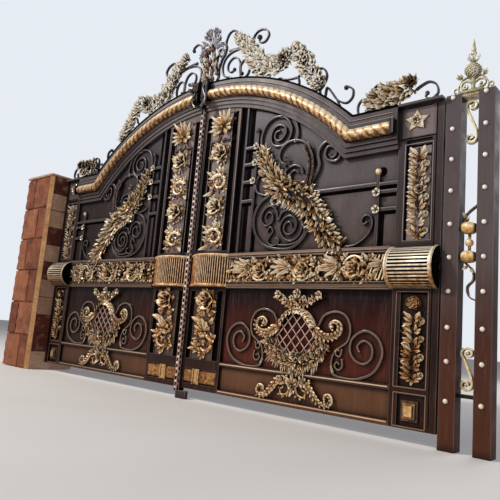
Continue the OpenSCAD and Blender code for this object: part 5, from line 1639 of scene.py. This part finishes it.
def centre_ornament():
    """The tall ornament at the crown, the meeting strip's rungs and the clasp."""
    iron, gold, rungs, spray = Shape(), Shape(), Shape(), Shape()

    def strand(side, width, *values):
        """A scroll through points in millimetres, on one side of the gate's middle."""
        scroll(iron, curve(*values) * [side, 1], width, CREST_Y, CREST_BACK, 0.75)

    for s in (-1, 1):
        strand(
            s, 0.021, 60, 3330, 95, 3352, 150, 3340, 182, 3280, 150, 3215, 95, 3222, 80, 3268, 115, 3295,
            140, 3270,
        )
        strand(s, 0.021, 175, 3240, 130, 3170, 100, 3090, 105, 3010, 85, 2960)
        strand(s, 0.014, 70, 3230, 60, 3130, 75, 3040, 110, 2985)
        strand(s, 0.015, 165, 3310, 172, 3370, 200, 3425, 245, 3446, 295, 3430, 318, 3395)
        ball(iron, (s * 0.3, 0.033, 3.392), 0.02, 8, 14)
        curl = spiral((s * 0.118, 3.262), 0.062, 0.014, 90 + s * 60, 90 - s * 250, 24)
        acanthus_scroll(spray, curl, CREST_Y - 0.004, 0.02, 0.01, 0.05, 0.03, 0.024, s, 0.6)
    for i in range(46):
        s, z = rng.uniform(-1, 1), 2.935 + 0.0082 * i
        wide = 0.052 + 0.02 * math.sin(i / 45 * math.pi)
        y = CREST_Y - 0.002 - 0.012 * (1 - abs(s))
        angle = 90 - s * 62 + rng.normal(0, 14)
        leaves(gold, LOBED, [(s * wide, z)], y, angle, 0.066, 0.04, 20, s * 14, rng.uniform(-0.5, 0.35))
    for i in range(58):
        a, r = math.radians(rng.uniform(-20, 200)), 0.122 * math.sqrt(rng.uniform(0.02, 1))
        at = (r * math.cos(a) * 0.95, 3.398 + r * math.sin(a) * 0.95)
        turn = math.degrees(a) + rng.normal(0, 28)
        y = CREST_Y - 0.002 - rng.uniform(0, 0.016)
        leaves(spray, LEAFLET, [at], y, turn, 0.046, 0.026, 22, 0, rng.uniform(-0.3, 0.3))
        if i % 4 == 0:
            ball(gold, (at[0], CREST_Y - 0.022, at[1]), 0.0085, 6, 8, 0.75)
    for i in range(9):
        a = math.radians(10 + 20 * i)
        tip = np.array([0.106 * math.cos(a), 3.4 + 0.106 * math.sin(a)])
        middle = (tip[0] * 0.5, 0.03, 3.3 + (tip[1] - 3.3) * 0.56)
        rod(spray, [(0, 0.033, 3.3), middle, (tip[0], 0.024, tip[1])], 0.005, 6)
    scroll(iron, [(0, CROWN_Z), (0, 3.34)], 0.03, CREST_Y, CREST_BACK, 0.8, 0.3)
    open_flower(gold, (0, 3.325), CREST_Y - 0.016, 0.036)
    iron.build("centre_scrollwork", SCROLL_IRON, "left_leaf", "dark_iron", "centre_crest")
    gold.build("centre_leafwork", STEM_GOLD, "left_leaf", "crest_gold", "centre_crest")
    spray.build("centre_spray", SPRAY_IRON, "left_leaf", "dark_iron", "centre_crest")

    # Alternating rungs on the front and the side of the meeting strip
    low = gate_box("centre_strip")[0][2]
    y, pitch = -0.034, 0.054
    for x0, x1, y0, y1 in (
        (-0.015, -0.01, y - 0.005, y), (0.011, 0.0185, y - 0.005, y + 0.006), (0.015, 0.0185, -0.01, -0.003),
    ):
        box(rungs, x0, x1, y0, y1, low + 0.004, 2.66, 0.001, 0.55)
    for z in np.arange(low + 0.02, 2.62, pitch):
        box(rungs, -0.0125, 0.012, y - 0.0045, y, z, z + pitch * 0.4, 0.002, 0.8)
        box(rungs, 0.015, 0.018, y + 0.004, -0.004, z + pitch * 0.55, z + pitch * 0.95, 0.001, 0.65)
    rungs.build("strip_rungs", RUNG, "left_leaf", "gilt")

    # The clasp at the crown: a scrolled strap and leaves over its face, a bead round its edge
    leaf, strap = Shape(), Shape()
    for side, x in ((1, 0.064), (-1, -0.064)):
        bend = mm(-20, 2650, 12, 2690, 22, 2745, 0, 2790, -14, 2840, 10, 2885) * [side, 1] + [x, 0]
        target = strap if side > 0 else leaf
        scroll(target, smooth(bend), 0.034, -0.116, -0.105, 0.7, 0.008, 0.3)
        ball(target, (x, -0.112, 2.742), 0.022, 7, 12, 0.4)
    beads = 0.01 + 0.004 * np.sin(np.linspace(0, 3 * np.pi, 12))
    rod(strap, [(0.096, -0.104, z) for z in np.linspace(2.66, 2.89, 12)], beads, 10)
    for x, z, a in (
        (-0.075, 2.86, 100), (-0.06, 2.81, 60), (-0.085, 2.82, 140), (-0.062, 2.77, -90), (-0.08, 2.7, 200),
    ):
        leaves(leaf, LOBED, [(x, z)], -0.114, a, 0.066, 0.045, 10)
    strap.build("clasp_strap", SCROLL_IRON, "right_leaf", "dark_iron")
    leaf.build("clasp_leaf", BRONZE, "left_leaf", "gilt")


crest()
centre_ornament()


# Post between drive and wicket


def post():
    """The post's rivets, scrolls, bulbs, cap band and spire."""
    rivets, gold, finial, bulbs = Shape(), Shape(), Shape(), Shape()
    y_mid = UPRIGHT_W / 2
    heights = (2.227, 1.994, 1.781, 1.565, 1.34, 1.119, 0.9, 0.669, 0.456, 0.2115)
    for x in (2.454, 2.67):
        for z in heights:
            dome = mm(0, -13.5, 7, -12.8, 12.5, -9.5, 15.5, -4, 16.5, 0, 0, 0)
            turned(rivets, (x, 0.0, min(z, EAR_Z - 0.02)), dome, "y", 16, 0.8)
    gap0, gap1 = POST_IN + UPRIGHT_W, POST_IN + UPRIGHT_W + POST_GAP
    front, back = y_mid - 0.018, y_mid + 0.014
    width = 0.017
    for z0, z1 in ((1.87, 2.205), (0.27, 0.57)):
        r = 0.04
        top, low = (POST_MID + 0.003, z1 - 0.055), (POST_MID - 0.006, z0 + 0.055)
        upper = spiral(top, 0.012, r, -200, 190, 40)
        lower = spiral(low, r, 0.012, 10, -380, 40)
        half = (z0 + z1) / 2
        middle = smooth([
            (top[0] - r, top[1] - 0.01), (top[0] - 0.018, half + 0.052),
            (low[0] + 0.03, half - 0.045), (low[0] + r, low[1] + 0.01),
        ])
        path = np.vstack([upper, middle[2:-2], lower])
        path[:, 0] = np.clip(path[:, 0], gap0 + width / 2 + 0.001, gap1 - width / 2 - 0.001)
        scroll(gold, path, width, front, back, 1.0, relief=0.7)
        ball(gold, (top[0], y_mid, top[1]), 0.014, 7, 12, 0.9)
        ball(gold, (low[0], y_mid, low[1]), 0.014, 7, 12, 0.9)
    dark = Shape()
    for points in (
        [(gap1, 1.47), (POST_MID - 0.01, 1.42), (POST_MID - 0.042, 1.372), (POST_MID - 0.03, 1.345)],
        [
            (POST_MID - 0.03, 1.092), (POST_MID + 0.02, 1.04), (POST_MID + 0.028, 0.98),
            (POST_MID - 0.01, 0.93), (POST_MID + 0.005, 0.87), (gap1, 0.842),
        ],
    ):
        path = smooth(points)
        path[:, 0] = np.clip(path[:, 0], gap0 + 0.008, gap1)
        scroll(dark, path, 0.013, front, back, 0.8)
    for at, a in (
        ((POST_MID - 0.03, 1.352), 40), ((POST_MID - 0.02, 1.365), 110), ((POST_MID, 1.075), 230),
        ((POST_MID + 0.01, 1.06), 300),
    ):
        leaves(gold, LOBED, [at], front, a, 0.055, 0.028, 12)
    turn = np.linspace(0, 2 * np.pi, 48, endpoint=False)
    for z in (1.125, 1.312):
        h = np.linspace(-1, 1, 15)[:, None]
        lobes = 1 - 0.07 * np.abs(np.sin(4 * turn))[None]
        rr = 0.0545 * np.sqrt(np.maximum(0.0, 1 - np.abs(h) ** 2.6)) * lobes
        x, y = POST_MID + rr * np.cos(turn), y_mid - 0.018 + rr * np.sin(turn)
        points = np.stack([x, y, z + 0.042 * h + 0 * rr], -1)
        # The relief grows from each bulb's foot to its top: a painted highlight from light above
        bulbs.add(points, grid_faces(15, 48, wrap_cols=True), 0.62 + 0.25 * (h + 0 * rr))
    turned(bulbs, (POST_MID, y_mid - 0.008, 1.16), mm(10, 0, 10, 115), "z", 14, 0.4)
    ball(bulbs, (POST_MID, y_mid - 0.012, 1.2175), 0.027, 11, 20)
    bulbs.build("post_bulbs", BULB_GOLD, "posts", "gilt", "post_scrolls")
    x0, x1 = gap0 + 0.0005, gap1 - 0.0005
    box(gold, x0, x1, 0.008, UPRIGHT_W - 0.008, EAR_Z - 0.026, EAR_Z, 0.004, 0.7)
    for k in range(9):
        x = x0 + (k + 0.5) * (x1 - x0) / 9
        leaves(gold, PLUME, [(x, EAR_Z - 0.002)], 0.006, -90, 0.026, 0.018, 4)
    rail = Shape()
    box(rail, x0, x1, 0.04, 0.064, 0.24, 0.264, 0.004, 0.4)
    rail.build("post_crossbar", IRON, "posts", "iron", "post_bars")
    rivets.build("post_rivets", CREAM, "posts", "gilt")
    gold.build("post_scrollwork", POST_GOLD, "posts", "gilt", "post_scrolls", "post_bars")
    dark.build("post_curls", BRONZE, "posts", "dark_iron")

    # Spire with a twisted basket between two side curls
    base = EAR_Z
    centre = np.array([POST_MID, y_mid, base])
    box(
        finial, POST_MID - 0.079, POST_MID + 0.079, y_mid - 0.044, y_mid + 0.044, base, base + 0.024, 0.004,
        0.5,
    )
    stem = mm(0, 24, 26, 24, 18, 40, 12, 60, 16, 80, 24, 90, 14, 100, 12, 118, 0, 118)
    turned(finial, centre, stem, "z", 20, 0.6)
    t = np.linspace(0, 1, 30)
    for k in range(8):
        a = 2 * math.pi * k / 8 + 1.9 * math.pi * (t - 0.5)
        rr = 0.054 * np.sin(np.pi * t) ** 0.8
        helix = np.stack([POST_MID + rr * np.cos(a), y_mid + rr * np.sin(a), base + 0.116 + 0.112 * t], -1)
        rod(finial, helix, 0.0058, 7, 0.75)
    turned(
        finial, centre,
        mm(
            0, 226, 12, 226, 20, 236, 11, 246, 10, 280, 18, 286, 21, 294, 18, 302, 12, 306, 16, 320, 11, 350,
            2, 404, 0, 404,
        ),
        "z", 20, 0.7,
    )
    for k in range(6):
        a = 60 * k
        c, s = math.cos(math.radians(a)), math.sin(math.radians(a))
        p = np.linspace(0, 1, 8)
        bow = 0.01 + 0.03 * np.sin(p * 2.4)
        blade = np.stack([POST_MID + c * bow, y_mid + s * bow, base + 0.236 + 0.052 * p], -1)
        rod(finial, blade, 0.006 * np.sin(np.pi * (0.12 + 0.8 * p)), 6, 0.8)
    for s in (-1, 1):
        path = spiral((POST_MID + s * 0.052, base + 0.068), 0.04, 0.012, 90 + s * 60, 90 - s * 290, 36)
        scroll(finial, path, 0.013, y_mid - 0.01, y_mid + 0.01, 0.8, relief=0.7)
        ball(finial, (POST_MID + s * 0.052, y_mid, base + 0.068), 0.012, 7, 12)
        stem = smooth(mm(10, 110, 45, 128, 82, 100, 100, 55, 92, 26) * [s, 1] + [POST_MID, base])
        scroll(finial, stem, 0.01, y_mid - 0.008, y_mid + 0.008, 0.9, relief=0.6)
        outer = spiral((POST_MID + s * 0.118, base + 0.044), 0.024, 0.008, 90 + s * 120, 90 - s * 220, 28)
        scroll(finial, outer, 0.01, y_mid - 0.008, y_mid + 0.008, 0.8, relief=0.7)
        for a, length in ((50, 0.05), (20, 0.045), (80, 0.04)):
            leaves(
                finial, LOBED, [(POST_MID + s * 0.07, base + 0.118)], y_mid - 0.01, 90 - s * (90 - a), length,
                0.022, 14, tone=0.1,
            )
    finial.build("post_spire", FINIAL_GOLD, "posts", "gilt", "post_finial")


post()


# Masonry pier on the left

# How far a block's edges are rounded
ROUND_OFF = 0.01


def rough_block(shape, low, high, tone, rough, cells):
    """A dressed stone block with a rough face on every side and rounded edges."""
    low, high = np.asarray(low, float), np.asarray(high, float)
    size, middle = (high - low) / 2, (high + low) / 2
    line = np.linspace(-1, 1, cells)
    u, v = np.meshgrid(line, line, indexing="ij")
    for axis in range(3):
        for sign in (-1, 1):
            p = np.zeros((cells, cells, 3))
            p[..., axis] = sign
            p[..., (axis + 1) % 3] = u
            p[..., (axis + 2) % 3] = v
            q = p * size
            inner = np.clip(q, -(size - ROUND_OFF), size - ROUND_OFF)
            d = q - inner
            n = np.linalg.norm(d, axis=-1, keepdims=True)
            q = inner + d / np.maximum(n, 1e-9) * np.minimum(n, ROUND_OFF)
            at = q + middle
            wave = (
                np.sin(at[..., 0] * 61 + 3 * tone) * np.sin(at[..., 1] * 53 + at[..., 2] * 47)
                + 0.6 * np.sin(at[..., 2] * 113 + at[..., 0] * 89) * np.cos(at[..., 1] * 97)
            )
            reach = np.maximum(np.abs(q).max(-1, keepdims=True), 1e-9)
            at = at - rough * 0.5 * (1 + 0.6 * wave[..., None]) * q / reach
            shape.add(at, grid_faces(cells, cells), tone)


# Tone of each course, from the lowest; width of a corner block and how far every second one reaches
QUOIN, TOOTH = 0.16, 0.05
BANDS = (0.95, 0.12, 0.2, 0.72, 0.8, 0.1, 0.88, 0.14, 0.95, 0.9, 0.12)


def pier():
    """The pier: a banded side of coursed blocks, rough slabs in front and a bevelled corner."""
    side, front, tan = Shape(), Shape(), Shape()
    low, high = (np.array(c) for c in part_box("pier"))
    cap_low, cap_high = (np.array(c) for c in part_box("pier_cap"))
    chamfer, joint = 0.04, 0.004
    courses = 11
    rise = (high[2] - low[2]) / courses
    for k in range(courses):
        z0, z1 = low[2] + k * rise + joint / 2, low[2] + (k + 1) * rise - joint / 2
        tone = BANDS[k] + rng.uniform(-0.05, 0.05)
        x0 = high[0] - QUOIN - TOOTH * (k % 2)
        rough_block(
            side, (x0, low[1] + chamfer + 0.004, z0), (high[0], high[1], z1), np.clip(tone, 0, 1), 0.003, 9,
        )
    slabs = 6
    rise = (high[2] - low[2]) / slabs
    edge = high[0] - chamfer - 0.004
    for k in range(slabs):
        z0, z1 = low[2] + k * rise + joint / 2, low[2] + (k + 1) * rise - joint / 2
        split = low[0] + (0.2 if k % 2 else 0.36)
        for a, b in ((low[0], split - joint / 2), (split + joint / 2, edge)):
            rough_block(front, (a, low[1], z0), (b, low[1] + 0.3, z1), rng.uniform(0, 1), 0.012, 13)
            end = min(b, high[0] - 0.21)
            rough_block(front, (a, low[1] + 0.305, z0), (end, high[1], z1), rng.uniform(0, 1), 0.012, 13)
    corner, face = high[0] - chamfer, low[1]
    ring = [
        (corner - 0.003, face + 0.002), (corner, face), (high[0], face + chamfer),
        (high[0] - 0.002, face + chamfer + 0.003), (corner - 0.003, face + chamfer + 0.003),
    ]
    levels = np.linspace(low[2], high[2], 40)
    points = np.array([[(x, y, z) for x, y in ring] for z in levels])
    tan.add(points, grid_faces(len(levels), len(ring), wrap_cols=True), 0.5)
    core = Shape()
    rough_block(core, low + [0.02, 0.02, 0], high - [0.02, 0.02, 0], 0.5, 0.0, 4)
    side.build("pier_banded_side", SIDE_STONE, "posts", "stone", "pier", placed=False)
    front.build("pier_front_blocks", FRONT_STONE, "posts", "stone", "pier", placed=False)
    tan.build("pier_corner", TAN_STONE, "posts", "stone", "pier", placed=False)
    core.build("pier_mortar", FRONT_STONE, "posts", "stone", placed=False)
    cap = Shape()
    rough_block(cap, cap_low, cap_high, 0.95, 0.003, 11)
    cap.build("pier_slab", SIDE_STONE, "posts", "stone", "pier_cap", placed=False)


pier()


# CAD pieces that show as they are

# The centre strip is near black: painted shade in the holes between its rungs
MATERIAL_OF = {
    "hinge_stile": IRON, "meeting_stile": IRON, "bottom_rail": KICK_IRON, "mid_rail": RAIL_IRON,
    "arch_frame": ARCH_IRON, "infill_sheets": SHEET, "centre_strip": BLACK,
    "ground_stop": SCROLL_IRON, "post_uprights": POST_IRON, "hinge_brackets": POST_IRON,
}
for node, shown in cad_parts.items():
    part = node.split("_", 1)[1] if node.startswith(("left_", "right_")) else node
    shown.data.materials.clear()
    shown.data.materials.append(MATERIAL_OF.get(part, IRON))


# Floor, light and camera

# Half the floor's width, the light from all round and the backdrop
FLOOR_HALF = 60.0
AMBIENT = (0.27, 0.28, 0.31, 1)
BACKDROP = (0.8, 0.84, 0.9, 1)


def stage():
    """A plain floor, a soft light from all round and a pale backdrop that only the camera sees."""
    m = Nodes("studio_floor", 0.9, 0.0, 0.0, 0.2)
    tint = m.ramp(m.noise(0.6, 2.0), [(0.3, shade(226, 222, 218)), (0.7, shade(232, 229, 225))])
    m.colour(tint)
    mesh = bpy.data.meshes.new("floor")
    s = FLOOR_HALF
    mesh.from_pydata([(-s, -s, 0), (s, -s, 0), (s, s, 0), (-s, s, 0)], [], [(0, 1, 2, 3)])
    mesh.materials.append(m.material)
    floor = bpy.data.objects.new("floor", mesh)
    bpy.context.scene.collection.objects.link(floor)

    world = bpy.data.worlds.new("studio")
    bpy.context.scene.world = world
    world.use_nodes = True
    tree = world.node_tree
    background = tree.nodes["Background"]
    path = tree.nodes.new("ShaderNodeLightPath")
    colour = tree.nodes.new("ShaderNodeMix")
    colour.data_type = "RGBA"
    colour.inputs[6].default_value = AMBIENT
    colour.inputs[7].default_value = BACKDROP
    tree.links.new(path.outputs["Is Camera Ray"], colour.inputs[0])
    tree.links.new(colour.outputs[2], background.inputs[0])
    background.inputs[1].default_value = 1.0


def lamp(name, place, aim, size, power, colour):
    """A round area light that faces the point it is aimed at."""
    light = bpy.data.lights.new(name, "AREA")
    light.shape, light.size, light.energy, light.color = "DISK", size, power, colour
    thing = bpy.data.objects.new(name, light)
    bpy.context.scene.collection.objects.link(thing)
    thing.location = place
    look = np.array(aim, float) - np.array(place, float)
    thing.rotation_mode = "QUATERNION"
    thing.rotation_quaternion = Vector(look).to_track_quat("-Z", "Y")


# The photograph's own view, found from the gate's straight lines
SENSOR_MM, LENS_MM = 36.0, 39.285
VIEW_FROM = np.array([3.7935, -3.4633, 0.516])
VIEW_RIGHT = np.array([0.75538, 0.65007, 0.08253])
VIEW_DOWN = np.array([-0.03885, 0.17014, -0.98465])
VIEW_AHEAD = np.array([-0.65413, 0.74058, 0.15378])


def camera():
    """A camera at the photograph's own view."""
    data = bpy.data.cameras.new("camera")
    data.sensor_width, data.lens = SENSOR_MM, LENS_MM
    data.clip_start, data.clip_end = 0.05, 200
    thing = bpy.data.objects.new("camera", data)
    bpy.context.scene.collection.objects.link(thing)
    turn = np.eye(4)
    turn[:3] = np.stack([VIEW_RIGHT, -VIEW_DOWN, -VIEW_AHEAD, VIEW_FROM + ORIGIN], -1)
    thing.matrix_world = Matrix(turn.tolist())
    bpy.context.scene.camera = thing


stage()
lamp("key", (-9.5, -9.0, 10.0), (-2.5, 0.0, 1.6), 1.5, 1500, (1.0, 0.96, 0.9))
lamp("front_fill", (3.0, -9.0, 4.0), (-2.0, 0.0, 1.4), 6.0, 230, (0.92, 0.95, 1.0))
lamp("rear_fill", (0.0, 9.0, 6.0), (-2.5, 0.0, 1.4), 6.0, 300, (0.95, 0.97, 1.0))
camera()
bpy.context.scene.view_settings.view_transform = "Standard"
